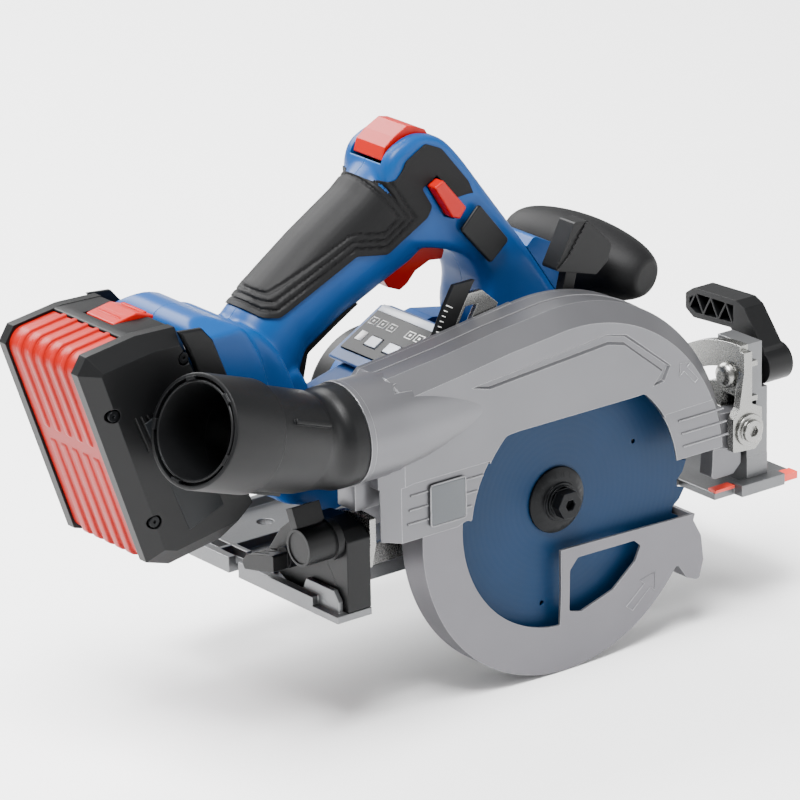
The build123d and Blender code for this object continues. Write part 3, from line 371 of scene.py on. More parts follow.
# which finish each carried-over node wears, and how far its edges are broken, in mm
nodeFinishes = {
    "saw_blade": ("lacqueredSteelBlue", 0.1), "spindle": ("turnedSteel", 0.3),
    "inner_flange": ("turnedSteel", 0.3),
    "outer_flange": ("oxideSteel", 0.4), "blade_bolt": ("oxideSteel", 0.4),
    "spindle_gear": ("turnedSteel", 0.0),
    "rotor_shaft": ("turnedSteel", 0.0), "rotor_core": ("laminatedIron", 0.0),
    "cooling_fan": ("mouldedNylonBlack", 0.0),
    "stator": ("laminatedIron", 0.3), "bearings": ("turnedSteel", 0.0),
    "upper_guard": ("paintedCastSilver", 0.8),
    "guard_back_plate": ("paintedCastSilver", 0.5), "hinge_lug": ("paintedCastSilver", 0.6),
    "guard_spring": ("turnedSteel", 0.0),
    "guard_circlip": ("turnedSteel", 0.0), "gear_case": ("castAluminiumPlate", 0.5),
    "lower_guard": ("blastedAluminium", 1.2),
    "handle_shell_right": ("mouldedNylonBlue", 0.8), "handle_shell_left": ("mouldedNylonBlue", 0.8),
    "trigger": ("mouldedAbsRed", 1.2),
    "lock_off_slider": ("mouldedAbsRed", 0.5), "side_button": ("mouldedAbsRed", 1.0),
    "grip_overmould": ("mouldedElastomer", 0.6),
    "connectivity_cover": ("mouldedNylonBlack", 0.4), "motor_housing": ("mouldedNylonBlue", 0.8),
    "motor_end_cap": ("mouldedNylonBlack", 0.5),
    "aux_neck": ("mouldedNylonBlue", 1.0), "aux_grip": ("mouldedElastomer", 0.0),
    "spindle_lock": ("mouldedNylonBlack", 0.5),
    "panel_frame": ("mouldedNylonBlue", 0.5), "panel_face": ("printedFoil", 0.2),
    "mode_button_right": ("paleFoil", 0.3),
    "mode_button_left": ("paleFoil", 0.3), "battery_core": ("mouldedAbsBatteryRed", 0.8),
    "battery_shell_right": ("mouldedNylonBlack", 0.6), "battery_shell_left": ("mouldedNylonBlack", 0.6),
    "battery_screws": ("oxideSteel", 0.2), "battery_cells": ("shrinkWrapGreen", 0.0),
    "battery_latch": ("mouldedAbsRed", 0.6),
    "battery_rail": ("mouldedNylonBlack", 0.5), "controller_board": ("shrinkWrapGreen", 0.2),
    "trigger_switch": ("mouldedNylonBlack", 0.3),
    "housing_screws": ("oxideSteel", 0.2), "front_quadrant": ("zincPlatedSteel", 0.3),
    "hinge_pin": ("zincPlatedSteel", 0.3),
    "rear_quadrant": ("zincPlatedSteel", 0.3), "depth_arc": ("zincPlatedSteel", 0.3),
    "depth_scale": ("mouldedNylonBlack", 0.2),
    "depth_lever": ("mouldedNylonBlack", 0.5), "base_plate": ("castAluminiumPlate", 0.4),
    "rear_bevel_block": ("mouldedNylonBlack", 0.6),
    "front_bevel_bracket": ("castAluminiumPlate", 0.6), "cut_marks": ("printedInkRed", 0.2),
    "front_clamp_bolt": ("zincPlatedSteel", 0.6),
    "front_bevel_lever": ("mouldedNylonBlack", 0.5), "rear_knob": ("mouldedNylonBlack", 0.5),
    "rear_stop_lever": ("mouldedNylonBlack", 0.5),
    "dust_elbow": ("mouldedNylonBlack", 0.4), "dust_connector": ("mouldedNylonBlack", 0.4),
}


def dressNode(name, finish, edge):
    node = nodes[name]
    node.data.materials.clear()
    node.data.materials.append(finish)
    weld = node.modifiers.new("weld", "WELD")
    weld.merge_threshold = 0.00001
    flatten = node.modifiers.new("flatten", "DECIMATE")
    flatten.decimate_type, flatten.angle_limit = "DISSOLVE", radians(0.6)
    if edge:
        bevel = node.modifiers.new("edges", "BEVEL")
        bevel.width, bevel.segments = edge * mm, 2
        bevel.limit_method, bevel.angle_limit = "ANGLE", radians(32)
        bevel.harden_normals = False
    normals = node.modifiers.new("normals", "WEIGHTED_NORMAL")
    normals.keep_sharp, normals.weight = False, 60


for nodeName, (finishName, edge) in nodeFinishes.items():
    dressNode(nodeName, finishes[finishName], edge)
print("nodes dressed")


# the blue handle: a lofted grip, a head, a strut and a foot melted into one moulding, then split
handle = dict(voxel=1.3, softening=6, strutHalf=19.5, headHalf=18.3, footHalf=34.5, grown=1.0,
              grooveSpacing=3.4, grooveWidth=0.85, grooveDepth=0.9)
# top point, bottom point and half width of the grip's sections, from the foot to the head
gripSections = [((-151, 126), (-121, 80), 21), ((-143, 137), (-115, 96), 19.5),
                ((-130, 148), (-109, 111), 18.5),
                ((-103, 167), (-88, 122.5), 18.2), ((-77, 183), (-62, 134), 18.6),
                ((-64, 194), (-45, 141), 18.6),
                ((-50, 202), (-30, 150), 17)]
headOutline = [(-66, 188), (-62, 201), (-46, 207.5), (-30, 203), (-19, 191), (-2, 168), (19, 140), (42, 106),
               (34, 89),
               (-4, 90), (-9, 108), (-6, 124), (-13, 139), (-30, 147), (-56, 153)]
strutOutline = [(-31, 174), (-12, 176), (18, 138.5), (40, 106), (33, 90), (-4, 90), (-8, 108), (-5, 124),
                (-12, 139), (-28, 154)]
footOutline = [(-190.3, 126), (-190, 145), (-184, 149.5), (-176, 149), (-160, 142), (-151, 126), (-145, 102),
               (-140, 80),
               (-134, 62), (-161, 62)]
shoulderOutline = [(-178, 130), (-166, 140), (-150, 138.5), (-134, 122), (-124, 95), (-124, 64), (-155, 60)]
beamOutline = [(-139, 52), (-129, 42), (-117, 39), (-106, 31), (-92, 33.5), (-56, 69), (-4, 84), (-22, 104),
               (-36, 101), (-62, 91),
               (-90, 84), (-112, 84), (-113, 100), (-122, 112), (-142, 100)]
rubberOutline = [(-165, 158), (-150, 146), (-137, 136.5), (-129, 135.5), (-84, 156), (-66, 153), (-42, 166),
                 (-39, 171),
                 (-45, 181), (-40, 183.5), (-33, 182), (-21, 167.5), (-14, 172), (-17, 179), (-33, 198.5),
                 (-42, 202.5), (-54, 196),
                 (-56, 192), (-60, 188), (-69, 188), (-84, 200), (-120, 180)]
grooveLine = [(-158, 151), (-137, 136.5), (-129, 135.5), (-84, 156), (-66, 153), (-44, 166), (-62, 192)]


def sectionLoft(sections, grow=0.0, count=40, square=0.82):
    work = bmesh.new()
    rings = []
    for top, bottom, half in sections:
        top, bottom = Vector((top[0], 0, top[1])), Vector((bottom[0], 0, bottom[1]))
        middle, up = (top + bottom) / 2, (top - bottom) / 2
        up *= 1 + grow / up.length
        ring = []
        for k in range(count):
            a = 2 * pi * k / count
            side = abs(cos(a)) ** square * (1 if cos(a) > 0 else -1) * (half + grow)
            lift = abs(sin(a)) ** square * (1 if sin(a) > 0 else -1)
            ring.append(work.verts.new((middle + up * lift + Vector((0, side, 0))) * mm))
        rings.append(ring)
    for a, b in zip(rings, rings[1:]):
        for k in range(count):
            work.faces.new((a[k], a[(k + 1) % count], b[(k + 1) % count], b[k]))
    work.faces.new(rings[0][::-1])
    work.faces.new(rings[-1])
    bmesh.ops.recalc_face_normals(work, faces=work.faces)
    mesh = bpy.data.meshes.new("loft")
    work.to_mesh(mesh)
    work.free()
    return mesh


def distanceToLine(p, line):
    best = 1e9
    for (ax, az), (bx, bz) in zip(line, line[1:]):
        dx, dz = bx - ax, bz - az
        t = max(0, min(1, ((p[0] - ax) * dx + (p[1] - az) * dz) / (dx * dx + dz * dz)))
        best = min(best, hypot(p[0] - ax - t * dx, p[1] - az - t * dz))
    return best


def insideLoop(p, loop):
    inside = False
    for (ax, az), (bx, bz) in zip(loop, loop[1:] + loop[:1]):
        if (az > p[1]) != (bz > p[1]) and p[0] < (bx - ax) * (p[1] - az) / (bz - az) + ax:
            inside = not inside
    return inside


def halfMesh(mesh, side, gap=0.12):
    # the half of a closed mesh on one side of the middle plane, with its cut face filled
    work = bmesh.new()
    work.from_mesh(mesh)
    everything = work.verts[:] + work.edges[:] + work.faces[:]
    cut = bmesh.ops.bisect_plane(work, geom=everything, plane_co=(0, side * gap * mm, 0),
                                 plane_no=(0, -side, 0), clear_outer=True)
    edges = [e for e in cut["geom_cut"] if isinstance(e, bmesh.types.BMEdge)]
    bmesh.ops.triangle_fill(work, use_beauty=True, edges=edges)
    result = bpy.data.meshes.new("half")
    work.to_mesh(result)
    work.free()
    return result


def grooved(mesh, line, area, spacing, width, depth, count=3):
    # presses contour lines into a rubber sleeve, side by side inside an area
    for vertex in mesh.vertices:
        p = (vertex.co.x / mm, vertex.co.z / mm)
        if not insideLoop(p, area):
            continue
        d = distanceToLine(p, line)
        for k in range(1, count + 1):
            off = abs(d - k * spacing) / width
            if off < 1:
                vertex.co -= vertex.normal * depth * mm * (1 - off * off)
    mesh.update()


def footFacets():
    # the foot's top falls away to both sides in one broad facet
    cuts = []
    for side in (-1, 1):
        turn = Matrix.Rotation(side * radians(-31), 3, "X")
        cuts.append(boxMesh((90, 60, 30), (-165, side * 33, 160.5), turn))
    return cuts


def buildHandle():
    bodies = [sectionLoft(gripSections), outlineMesh([roundLoop(headOutline, 7)], -handle["headHalf"],
                                                     handle["headHalf"], 4.5),
              outlineMesh([roundLoop(strutOutline, 6)], -handle["strutHalf"], handle["strutHalf"], 3.0),
              cutMesh(outlineMesh([roundLoop(footOutline, 5)], -handle["footHalf"], handle["footHalf"], 3.0),
                      footFacets()),
              outlineMesh([roundLoop(shoulderOutline, 12)], -29.5, 29.5, 6.0),
              outlineMesh([roundLoop(beamOutline, 6)], -20, 20, 4.0)]
    solid = moulded(bodies, handle["voxel"], handle["softening"])
    rooms = [outlineMesh([[(-63, 153), (-63, 139), (-57.5, 130.6), (-50, 127.8), (-45, 130.2), (-40, 135.4),
                           (-32, 138.8),
                           (-23.8, 137.6), (-20, 146), (-24, 153)]], -8.4, 8.4),
             outlineMesh([[(-64, 190), (-63, 204), (-46, 214), (-33, 208), (-33.5, 200), (-34, 190)]], -11.8,
                         11.8),
             outlineMesh([[(-42.5, 182.4), (-36, 185.8), (-21.2, 168.2), (-26.4, 162.2), (-31.6, 164.3)]],
                         -30, -14)]
    solid = cutMesh(solid, rooms)
    for side, node in ((-1, "handle_shell_right"), (1, "handle_shell_left")):
        addPiece("handleHalfRight" if side < 0 else "handleHalfLeft", halfMesh(solid, side), "saw_body",
                 finishes["mouldedNylonBlue"], [node], 50)
    grown = handle["grown"]
    sleeve = moulded([sectionLoft(gripSections[1:], grown),
                      outlineMesh([roundLoop(headOutline[:7] + headOutline[13:], 7)],
                                  -handle["headHalf"] - grown, handle["headHalf"] + grown, 4.5)],
                     0.9, 4)
    keep = link(bpy.data.objects.new("keep", outlineMesh([roundLoop(rubberOutline, 1.6)], -60, 60)))
    holder = link(bpy.data.objects.new("sleeve", sleeve))
    trim = holder.modifiers.new("trim", "BOOLEAN")
    trim.operation, trim.object, trim.solver = "INTERSECT", keep, "EXACT"
    bpy.context.view_layer.update()
    sleeve = finalMesh(holder)
    bpy.data.objects.remove(holder)
    bpy.data.objects.remove(keep)
    area = grooveLine + [(-100, 220), (-170, 190)]
    grooved(sleeve, grooveLine, area, handle["grooveSpacing"], handle["grooveWidth"], handle["grooveDepth"])
    pad = outlineMesh([roundLoop([(-119, 98), (-117.6, 112), (-112, 116.2), (-97, 125), (-83, 131.4),
                                  (-79, 130), (-94, 121.5),
                                  (-109.5, 112), (-112.6, 99)], 1.0)], -13, 13, 0.5)
    addPiece("gripSleeve", cutMesh(sleeve, rooms[1:]), "saw_body", finishes["mouldedElastomer"],
             ["grip_overmould"], 40)
    addPiece("gripPad", pad, "saw_body", finishes["mouldedElastomer"])


buildHandle()
print("handle built")


# the pack: two black side shells with broad chamfers, a ribbed red core and a black yoke
pack = dict(chamfer=8.0, coreHalf=26.5, ribStep=8.6, ribWidth=3.4)


def packPoint(along, across):
    return (-190.2 + along * sin(packLean) + across * cos(packLean),
            141.0 - along * cos(packLean) + across * sin(packLean))


packOutline = [(-253.3, 139.8), (-248.3, 147.6), (-221, 151.6), (-199, 151.0), packPoint(-5, -4),
               packPoint(90, -4), (-177, 42),
               (-206.6, 36.9), (-219.2, 40.6)]


def insetLoop(points, inset):
    # a closed outline drawn in; inset is one distance, or one for each side that starts at a point
    count = len(points)
    area = sum(a[0] * b[1] - b[0] * a[1] for a, b in zip(points, points[1:] + points[:1]))
    sign = 1 if area > 0 else -1
    sides = [inset] * count if isinstance(inset, (int, float)) else inset
    result = []
    for i, p in enumerate(points):
        a, b, c = Vector(points[i - 1]), Vector(p), Vector(points[(i + 1) % count])
        u, v = (b - a).normalized(), (c - b).normalized()
        n, m = Vector((-u.y, u.x)) * sign, Vector((-v.y, v.x)) * sign
        d, e = sides[i - 1], sides[i]
        turn = n.x * m.y - n.y * m.x
        if abs(turn) < 0.05:
            result.append(tuple(b + (n * d + m * e) / 2))
            continue
        move = Vector(((d * m.y - e * n.y) / turn, (e * n.x - d * m.x) / turn))
        result.append(tuple(b + move))
    return result


def bridged(loopA, yA, loopB, yB, loopC=None, yC=None):
    # a closed solid between matching outlines at two or three Y values
    work = bmesh.new()
    rings = [[work.verts.new((x * mm, y * mm, z * mm)) for x, z in loop]
             for loop, y in ((loopA, yA), (loopB, yB), (loopC, yC)) if loop]
    for a, b in zip(rings, rings[1:]):
        for k in range(len(a)):
            work.faces.new((a[k], a[(k + 1) % len(a)], b[(k + 1) % len(a)], b[k]))
    work.faces.new(rings[0])
    work.faces.new(rings[-1][::-1])
    bmesh.ops.recalc_face_normals(work, faces=work.faces)
    mesh = bpy.data.meshes.new("bridged")
    work.to_mesh(mesh)
    work.free()
    return mesh


def turned(along, across, y, size, rim=0.3, extra=0.0):
    # a small block lying in the pack's own leaning directions
    x, z = packPoint(along, across)
    return boxMesh(size, (x, y, z), Matrix.Rotation(-packLean + extra, 3, "Y"), rim)


def mirrored(mesh):
    mesh = mesh.copy()
    mesh.transform(Matrix.Scale(-1, 4, (0, 1, 0)))
    tidyMesh(mesh, 1e-7)
    return mesh


def buildPack():
    half = batteryHalf
    # wide chamfers at the rear and on top, narrow ones beside the handle's foot
    wide = pack["chamfer"]
    insets = [wide, wide, 7.0, 4.5, 1.2, 3.0, wide, wide, wide]
    flat = insetLoop(packOutline, insets)
    shell = bridged(flat, -half, packOutline, -half + 6.5, packOutline, -pack["coreHalf"] + 0.3)
    cheek = [(-200.5, 150.2), (-187.5, 149), (-181.6, 142.2), packPoint(58, 8.4), packPoint(66, -5.2),
             packPoint(0, -5.2)]
    cheek = bridged(insetLoop(cheek, 0.9), -half + 0.2, cheek, -half + 1.2, cheek, -half + 3.0)
    tidyMesh(shell)
    cuts = [latheMesh([(-3, 3.5), (6, 3.5)], (*packPoint(a, c)[:1], -half, packPoint(a, c)[1]), (0, 1, 0),
                      32)
            for a, c in ((0.5, -9), (3, -53), (63, -55))]
    cuts.append(turned(-6.5, -30, -half + 5, (7.5, 9, 15), 1.2))
    cuts += [turned(15 + 2.6 * k, -17, -half, (11 - 0.6 * k, 1.1, 1.2), 0.2) for k in range(5)]
    cuts += [turned(20 + 1.2 * k, -44 + 3.0 * k, -half, (1.2, 1.1, 19), 0.2) for k in range(4)]
    shell = joined([cutMesh(shell, cuts), cheek])
    label = turned(47, -30, -half - 0.05, (21, 0.5, 62), 0.2)
    for side in (-1, 1):
        body = shell if side < 0 else mirrored(shell)
        piece = addPiece("packShellRight" if side < 0 else "packShellLeft", body, "battery",
                         finishes["mouldedNylonBlack"],
                         ["battery_shell_right" if side < 0 else "battery_shell_left"], 25)
        edges = piece.modifiers.new("edges", "BEVEL")
        edges.width, edges.segments, edges.limit_method, edges.angle_limit = 0.0006, 2, "ANGLE", radians(25)
        addPiece("packLabelRight" if side < 0 else "packLabelLeft", label if side < 0 else mirrored(label),
                 "battery",
                 finishes["printedFoil"])
    core = insetLoop(packOutline, 1.4)
    parts = [outlineMesh([roundLoop(core, 4)], -pack["coreHalf"], pack["coreHalf"])]
    back = insetLoop(packOutline, 0.3)
    inner = insetLoop(packOutline, 6)
    upper = [back[2], back[1], back[0], (-238, 97), (-232, 99), inner[0], inner[1], inner[2]]
    lower = [(-236, 92), back[8], back[7], inner[7], inner[8], (-231, 94)]
    for k in range(-2, 3):
        y = k * pack["ribStep"]
        parts.append(outlineMesh([roundLoop(upper, 3)], y - pack["ribWidth"] / 2, y + pack["ribWidth"] / 2,
                                 0.8))
    for k in range(-2, 3):
        y = k * pack["ribStep"]
        parts.append(outlineMesh([roundLoop(lower, 2)], y - 2.4, y + 2.4, 0.8))
    for along, length in ((38, 44), (52, 36), (66, 30)):
        parts.append(turned(along, -58.6, 0, (3.0, length, 2.2), 0.6))
    yoke = [(-226, 150.9), (-221, 151.4), (-199, 150.8), (-195.9, 144.0), packPoint(12, -4.3),
            packPoint(12, -18), (-222, 120)]
    latchRoom = boxMesh((26, 23.2, 16), (-206.6, 0, 151.5))
    yoke = outlineMesh([roundLoop(yoke, 1.2)], -pack["coreHalf"] - 0.6, pack["coreHalf"] + 0.6, 0.5)
    addPiece("packYoke", cutMesh(yoke, [latchRoom]), "battery", finishes["mouldedNylonBlack"])
    parts[0] = cutMesh(parts[0], [latchRoom.copy()])
    addPiece("packCore", joined(parts), "battery", finishes["mouldedAbsBatteryRed"], ["battery_core"], 40)
    latchRidges = [boxMesh((2.0, 18, 1.0), (-206 + 3.4 * k, 0, 152.6 - 0.35 * abs(k)), None,
                           0.4) for k in range(-2, 3)]
    addPiece("latchRidges", joined(latchRidges), "battery_release", finishes["mouldedAbsRed"])


buildPack()
print("battery pack built")


# the fixed guard: a thin cast hood, open below, with a window and a collar for the dust port
guard = dict(radius=100.0, chamfer=8.5, wall=2.4, nearY=-77.8, farY=-48.0, footZ=34.0, windowR=64.0)


def arcPoints(radius, start, end, steps, centre=(0, 25.5)):
    return [(centre[0] + radius * cos(radians(start + (end - start) * k / steps)),
             centre[1] + radius * sin(radians(start + (end - start) * k / steps))) for k in range(steps + 1)]


def guardLoop(inset):
    r = guard["radius"] - inset
    foot = guard["footZ"]
    startAngle = degrees(asin((foot - axleZ) / r))
    dome = arcPoints(r, startAngle, 98.6, 44)
    return dome + [(-40, 121.8 - inset), (-70, 117.5 - inset), (-106 + inset * 0.5, 113.5 - inset),
                   (-112 + inset, 107.5 - inset),
                   (-112 + inset, foot)]


def buildGuard():
    near, far, wall, wide = guard["nearY"], guard["farY"], guard["wall"], guard["chamfer"]
    outer = guardLoop(0)
    solid = bridged(guardLoop(wide), near, outer, near + wide * 1.15, outer, far)
    cavity = bridged([(x, z if z > 36 else 20) for x, z in guardLoop(wall + wide - 1)], near + wall,
                     [(x, z if z > 36 else 20) for x, z in guardLoop(wall)], near + wall + wide * 1.15,
                     [(x, z if z > 36 else 20) for x, z in guardLoop(wall)], far + 2)
    window = [(x, z) for x, z in arcPoints(guard["windowR"], -10, 49, 20)] + [(34, 73.5), (-36, 73.5)] + \
        [(x, z) for x, z in arcPoints(guard["windowR"], 132, 172, 12)] + [(-66, 36), (-72, 34), (-72, 20),
                                                                          (62, 10)]
    windowCut = outlineMesh([roundLoop(window, 2, 3)], near - 5, near + wall + 1.5)
    groove = bridged([(-64, 101.5), (19, 109.2), (31, 106.5), (58.5, 84.5), (54.5, 77), (47, 76),
                      (52.5, 82.5), (29.5, 101), (19.5, 103.5), (-52, 98.2)],
                     near - 0.2, [(-60, 101.0), (19, 108.0), (30.5, 105.2), (57, 84.5), (53.6, 78),
                                  (49, 77.2), (54.2, 82.9), (30, 102.5), (20, 105.0), (-52, 99.6)],
                                  near + 1.3)
    tabLeft = bridged([(-121, 30), (-121, 60), (-99, 63.5), (-53, 63.5), (-50, 30)], near - 3,
                      [(-119, 30), (-119, 59), (-98, 62.3), (-53, 62.3), (-50, 30)], near + 1.5)
    tabRight = bridged([(55, 60.5), (97, 61.5), (102, 30), (55, 30)], near - 3,
                       [(55, 59.4), (97, 60.4), (102, 30), (55, 30)], near + 1.5)
    gap = boxMesh((34, 40, 30), (-123, -48.5, 45))
    solid = cutMesh(solid, [cavity, windowCut, groove, tabLeft, tabRight, gap])
    # the spout grows out of the tail and is bored through
    ease = [(t, 24.6 - 7.4 * (3 * ((t - 20) / 62) ** 2 - 2 * ((t - 20) / 62) ** 3)) for t in range(20, 83,
                                                                                                   3)]
    spout = latheMesh([(0, 25.2), (3, 25.2), (3.4, 24.6)] + ease + [(88, 12.0)], (-128, bladeY, 89.5),
                      (1, 0, 0), 96)
    bore = latheMesh([(-2, 22.6), (34, 22.6), (44, 20.0)], (-128, bladeY, 89.5), (1, 0, 0))
    behind = boxMesh((70, 40, 70), (-61, far + 20 - 0.2, 89.5))
    front = cutMesh(spout, [behind, bridged(guardLoop(wall), near + wall, guardLoop(wall), far - 0.2)])
    lug = boxMesh((15, 14, 16.5), (-113.5, -55, 57.7), None, 0.8)
    body = cutMesh(solid, [bore])
    piece = addPiece("fixedGuard", body, "saw_body", finishes["paintedCastSilver"], ["upper_guard"], 28)
    edges = piece.modifiers.new("edges", "BEVEL")
    edges.width, edges.segments, edges.limit_method, edges.angle_limit = 0.0007, 2, "ANGLE", radians(30)
    addPiece("guardSpout", cutMesh(front, [bore]), "saw_body", finishes["paintedCastSilver"], (), 40)
    addPiece("guardRearLug", lug, "saw_body", finishes["paintedCastSilver"], (), 30)
    rim = [(x, near + wide * 1.15 + 10.5, z) for x, z in guardLoop(-0.15)[2:-1]]
    addPiece("guardSeam", tubeMesh(rim, 0.35), "saw_body", finishes["paintedCastSilver"])
    y = near + 1.25
    lines = [((-99.5, 56.4), (-89.5, 56.4)), ((-67, 56.4), (-56.5, 56.4)), ((-100.5, 49.4), (-89.5, 49.4)),
             ((-67, 49.4), (-60, 49.4)),
             ((-101.5, 42.6), (-89.5, 42.6)), ((-67, 42.6), (-63.5, 42.6)), ((64.5, 54), (92.5, 54)),
             ((66.5, 47), (94.5, 47)),
             ((67.5, 40.2), (95.5, 40.2))]
    beads = [tubeMesh([(a[0], y, a[1]), (b[0], y, b[1])], 0.55) for a, b in lines]
    addPiece("guardTabLines", joined(beads), "saw_body", finishes["paintedCastSilver"])
    badge = outlineMesh([roundLoop([(-88, 58.5), (-68, 58.5), (-68, 38.8), (-88, 38.8)], 1.5)], near + 0.1,
                        near + 1.8, 0.3)
    addPiece("guardBadge", badge, "saw_body", finishes["badgeGrey"])
    badgeFrame = tubeMesh([(x, near + 0.35, z) for x, z in roundLoop([(-88.4, 58.9), (-67.6, 58.9),
                                                                      (-67.6, 38.4), (-88.4, 38.4)], 1.7)],
                                                                      0.45, True)
    addPiece("guardBadgeRim", badgeFrame, "saw_body", finishes["paintedCastSilver"])
    arrow = [(73.5, 72), (66.5, 79.5), (63.8, 77.4), (64.5, 84), (70.6, 83.2), (68.4, 81.3), (75.5, 73.8)]
    addPiece("guardArrow", tubeMesh([(x, near - 0.02, z) for x, z in arrow], 0.3, True), "saw_body",
             finishes["paintedCastSilver"])


buildGuard()
print("fixed guard built")


def buildSwingDetails():
    arrow = [(38, -38), (42, -41), (53.5, -31.5), (56, -34), (56.5, -24.5), (47, -26.5), (49.5, -29)]
    addPiece("swingArrow", tubeMesh([(x, swingNearY - 0.02, z) for x, z in arrow], 0.3, True), "swing_guard",
             finishes["blastedAluminium"])


buildSwingDetails()


# the dust port: a waisted elbow and a wider socket on its end
port = dict(tilt=20.0, yaw=9.0, elbowR=24.6, socketR=26.8, boreR=22.0)


def portPlace():
    place = Matrix.Translation(Vector((-146, -60, 89.5)) * mm) @ Matrix.Rotation(radians(port["yaw"]), 4,
                                                                                 "Z") @ \
        Matrix.Rotation(radians(-90 + port["tilt"]), 4, "Y")
    return place


def buildPort():
    place = portPlace()
    end = place @ Vector((0, 0, 46 * mm))
    start, corner = Vector((-128.6, -60, 89.5)) * mm, Vector((-146, -60, 89.5)) * mm
    path = [start, start.lerp(corner, 0.35)]
    a, b, c = start.lerp(corner, 0.35), corner, corner.lerp(end, 0.25)
    path += [a.lerp(b, t / 8).lerp(b.lerp(c, t / 8), t / 8) for t in range(1, 9)] + [end]
    work = bmesh.new()
    count, rings = 72, []
    waist = [0, 0, 0.2, 1.2, 1.9, 2.1, 2.0, 1.6, 1.0, 0.4] + [0] * 10
    for wall in (0, 2.3):
        ring = []
        for i, p in enumerate(path):
            radius = port["elbowR"] - wall - waist[i] * (1 if wall == 0 else 0.2)
            ahead = (path[min(i + 1, len(path) - 1)] - path[max(i - 1, 0)]).normalized()
            side = ahead.cross(Vector((0, 0, 1))).normalized()
            up = side.cross(ahead)
            angles = [2 * pi * k / count for k in range(count)]
            ring.append([work.verts.new(p + (side * cos(a) + up * sin(a)) * radius * mm) for a in angles])
        rings.append(ring)
    for ring in rings:
        for a, b in zip(ring, ring[1:]):
            for k in range(count):
                work.faces.new((a[k], a[(k + 1) % count], b[(k + 1) % count], b[k]))
    for end_ in (0, -1):
        for k in range(count):
            work.faces.new((rings[0][end_][k], rings[0][end_][(k + 1) % count],
                            rings[1][end_][(k + 1) % count], rings[1][end_][k]))
    bmesh.ops.recalc_face_normals(work, faces=work.faces)
    elbow = bpy.data.meshes.new("elbow")
    work.to_mesh(elbow)
    work.free()
    spigot = latheMesh([(-6, 22.4), (10, 22.2), (10, 20.4), (-6, 20.4), (-6, 22.4)], (-128, -60, 89.5),
                       (1, 0, 0))
    parts = [elbow, spigot]
    for angle in (60, 180, 300):
        rib = boxMesh((2.0, 2.6, 24), (25.0, 0, 24), None, 0.6)
        rib.transform(Matrix.Rotation(radians(angle), 4, "Z"))
        rib.transform(place)
        parts.append(rib)
    addPiece("dustElbow", joined(parts), "dust_port", finishes["mouldedNylonBlack"], ["dust_elbow"], 40)
    profile = [(44.0, 25.0), (44.4, 26.2), (45.2, port["socketR"]), (76.4, 26.9), (77.6, 26.6), (78.0, 25.9),
               (78.0, 24.9), (74.5, 24.8),
               (74.5, 23.5), (77.2, 23.4), (77.6, 23.0), (77.6, 22.4), (77.0, port["boreR"]),
               (46.2, port["boreR"]),
               (46.2, 24.7), (44.0, 24.7), (44.0, 25.0)]
    socket = latheMesh(profile, (0, 0, 0), (0, 0, 1), 96)
    window = boxMesh((6, 13, 6.5), (26.5, 0, 55), None, 0.8)
    window.transform(Matrix.Rotation(radians(118), 4, "Z"))
    notches = []
    for angle in (20, 95, 170, 250, 320):
        notch = boxMesh((1.6, 5, 3.0), (24.2, 0, 77.4))
        notch.transform(Matrix.Rotation(radians(angle), 4, "Z"))
        notches.append(notch)
    socket = cutMesh(socket, [window])
    parts = [socket] + notches
    tongue = boxMesh((1.4, 3.0, 20), (21.4, 0, 60), None, 0.5)
    tongue.transform(Matrix.Rotation(radians(-35), 4, "Z"))
    parts.append(tongue)
    socket = joined(parts)
    socket.transform(place)
    addPiece("dustSocket", socket, "dust_port", finishes["mouldedNylonBlack"], ["dust_connector"], 35)


buildPort()
print("dust port built")


# printed marks on the key panel, with no lettering
panel = dict(tilt=29.3, x=-51.2, z=103.4)


def onPanel(along, y, lift, size, rim=0.1):
    turn = radians(panel["tilt"])
    x = panel["x"] + along * cos(turn) - lift * sin(turn)
    z = panel["z"] + along * sin(turn) + lift * cos(turn)
    return boxMesh(size, (x, y, z), Matrix.Rotation(-turn, 3, "Y"), rim)


def buildPanelPrints():
    pale = [onPanel(13.2, -1, 0.68, (4.4, 44, 0.25))]
    white = []
    for y in (-18, -11, 3, 10, 17):
        white += [onPanel(6.8, y, 0.66, (0.5, 5.2, 0.16), 0.05),
                  onPanel(2.6, y, 0.66, (0.5, 5.2, 0.16), 0.05),
                  onPanel(4.7, y - 2.4, 0.66, (4.2, 0.4, 0.16), 0.05),
                  onPanel(4.7, y + 2.4, 0.66, (4.2, 0.4, 0.16), 0.05),
                  onPanel(4.7, y, 0.66, (1.4, 1.4, 0.16), 0.05)]
    white += [onPanel(-5.5, -19, 0.66, (6, 5, 0.16), 0.05), onPanel(-5.5, 15.5, 0.66, (6, 5, 0.16), 0.05)]
    addPiece("panelHeader", joined(pale), "saw_body", finishes["paleFoil"])
    addPiece("panelPrints", joined(white), "saw_body", finishes["printedInkWhite"])


def buildScaleTicks():
    ticks = []
    for k in range(26):
        angle = radians(150.2 + 0.62 * k * 1.25)
        long = k % 5 == 0
        r = 193.6 if long else 194.6
        length = 4.4 if long else 2.4
        x, z = 118 + r * cos(angle), 34 + r * sin(angle)
        if not -88 < x < -34:
            continue
        ticks.append(boxMesh((length, 0.2, 0.45), (x, -44.86, z), Matrix.Rotation(-angle, 3, "Y"), 0.05))
    addPiece("scaleTicks", joined(ticks), "carrier", finishes["printedInkWhite"])


buildPanelPrints()
buildScaleTicks()
print("prints built")


# soft studio: one broad lamp from above, one low fill, one rim lamp behind
studio = dict(floorZ=cadBox[0].z - 0.0004, floorColour="fbfbfb", world=0.68, key=215, fill=22, rim=130)


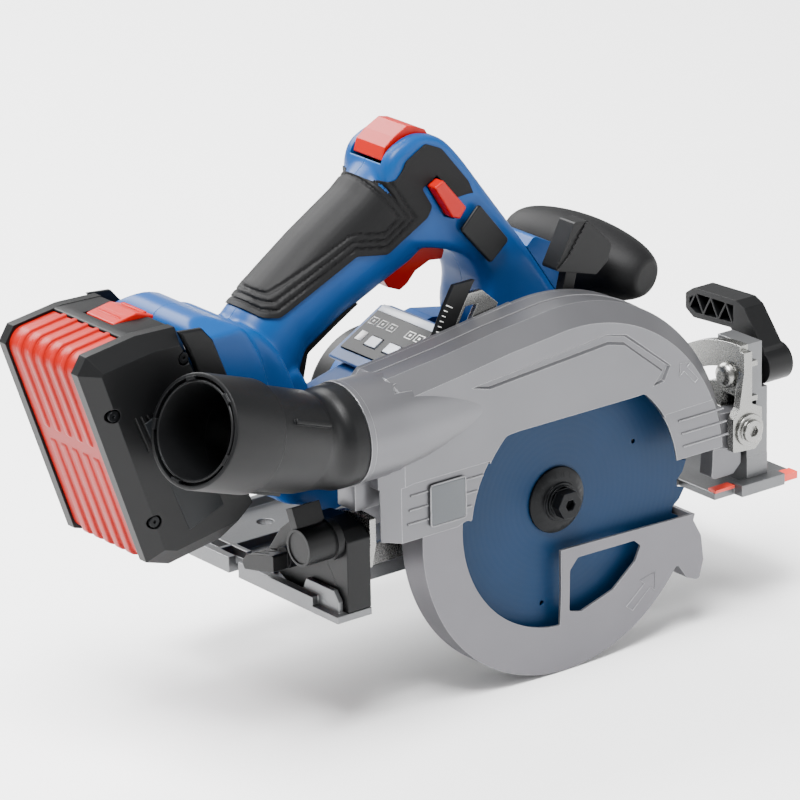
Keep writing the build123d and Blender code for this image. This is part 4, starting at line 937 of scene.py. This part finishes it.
def makeStudio():
    floor = bpy.data.meshes.new("floor")
    work = bmesh.new()
    bmesh.ops.create_grid(work, x_segments=8, y_segments=8, size=9.0)
    bmesh.ops.translate(work, vec=(0, 0, studio["floorZ"]), verts=work.verts)
    work.to_mesh(floor)
    work.free()
    obj = link(bpy.data.objects.new("floor", floor))
    look = dict(colour=studio["floorColour"], shade="f8f8f8", rough=(0.75, 0.85), grain=3.0, depth=0.02,
                edgeWearAndHighlight="fcfcfc", patch=400)
    floor.materials.append(makeFinish("matPaintedFloor", look))
    world = bpy.data.worlds.new("studio")
    bpy.context.scene.world = world
    world.use_nodes = True
    world.node_tree.nodes["Background"].inputs["Color"].default_value = (1, 1, 1, 1)
    world.node_tree.nodes["Background"].inputs["Strength"].default_value = studio["world"]
    lamps = (("key", (-0.8, -0.5, 2.3), 1.2, studio["key"]), ("fill", (1.7, -1.7, 0.7), 1.4, studio["fill"]),
             ("rim", (-0.2, 1.7, 1.6), 1.6, studio["rim"]))
    for name, place, size, power in lamps:
        lamp = bpy.data.lights.new(name, "AREA")
        lamp.size, lamp.energy = size, power
        holder = link(bpy.data.objects.new(name, lamp))
        holder.location = place
        holder.rotation_euler = (Vector((0, -0.02, 0.08)) - Vector(place)).to_track_quat("-Z",
                                                                                         "Y").to_euler()


lensView = dict(yaw=37.57, pitch=20.02, roll=-0.02, length=260.685, place=(-1637.3, -2068.8, 1021.2))


def makeCamera():
    # a long lens a little above the saw, from its right rear quarter
    yaw, pitch, roll = radians(lensView["yaw"]), radians(lensView["pitch"]), lensView["roll"]
    right = Vector((cos(yaw), -sin(yaw), 0))
    ahead = Vector((sin(yaw) * cos(pitch), cos(yaw) * cos(pitch), -sin(pitch)))
    up = right.cross(ahead)
    x = right * cos(roll) + up * sin(roll)
    y = -right * sin(roll) + up * cos(roll)
    data = bpy.data.cameras.new("camera")
    data.sensor_width, data.lens = 36.0, lensView["length"]
    data.clip_end = 50
    camera = link(bpy.data.objects.new("camera", data))
    matrix = Matrix((x, y, -ahead)).transposed().to_4x4()
    matrix.translation = Vector(lensView["place"]) * mm
    camera.matrix_world = matrix
    bpy.context.scene.camera = camera


makeStudio()
makeCamera()
print("studio ready")
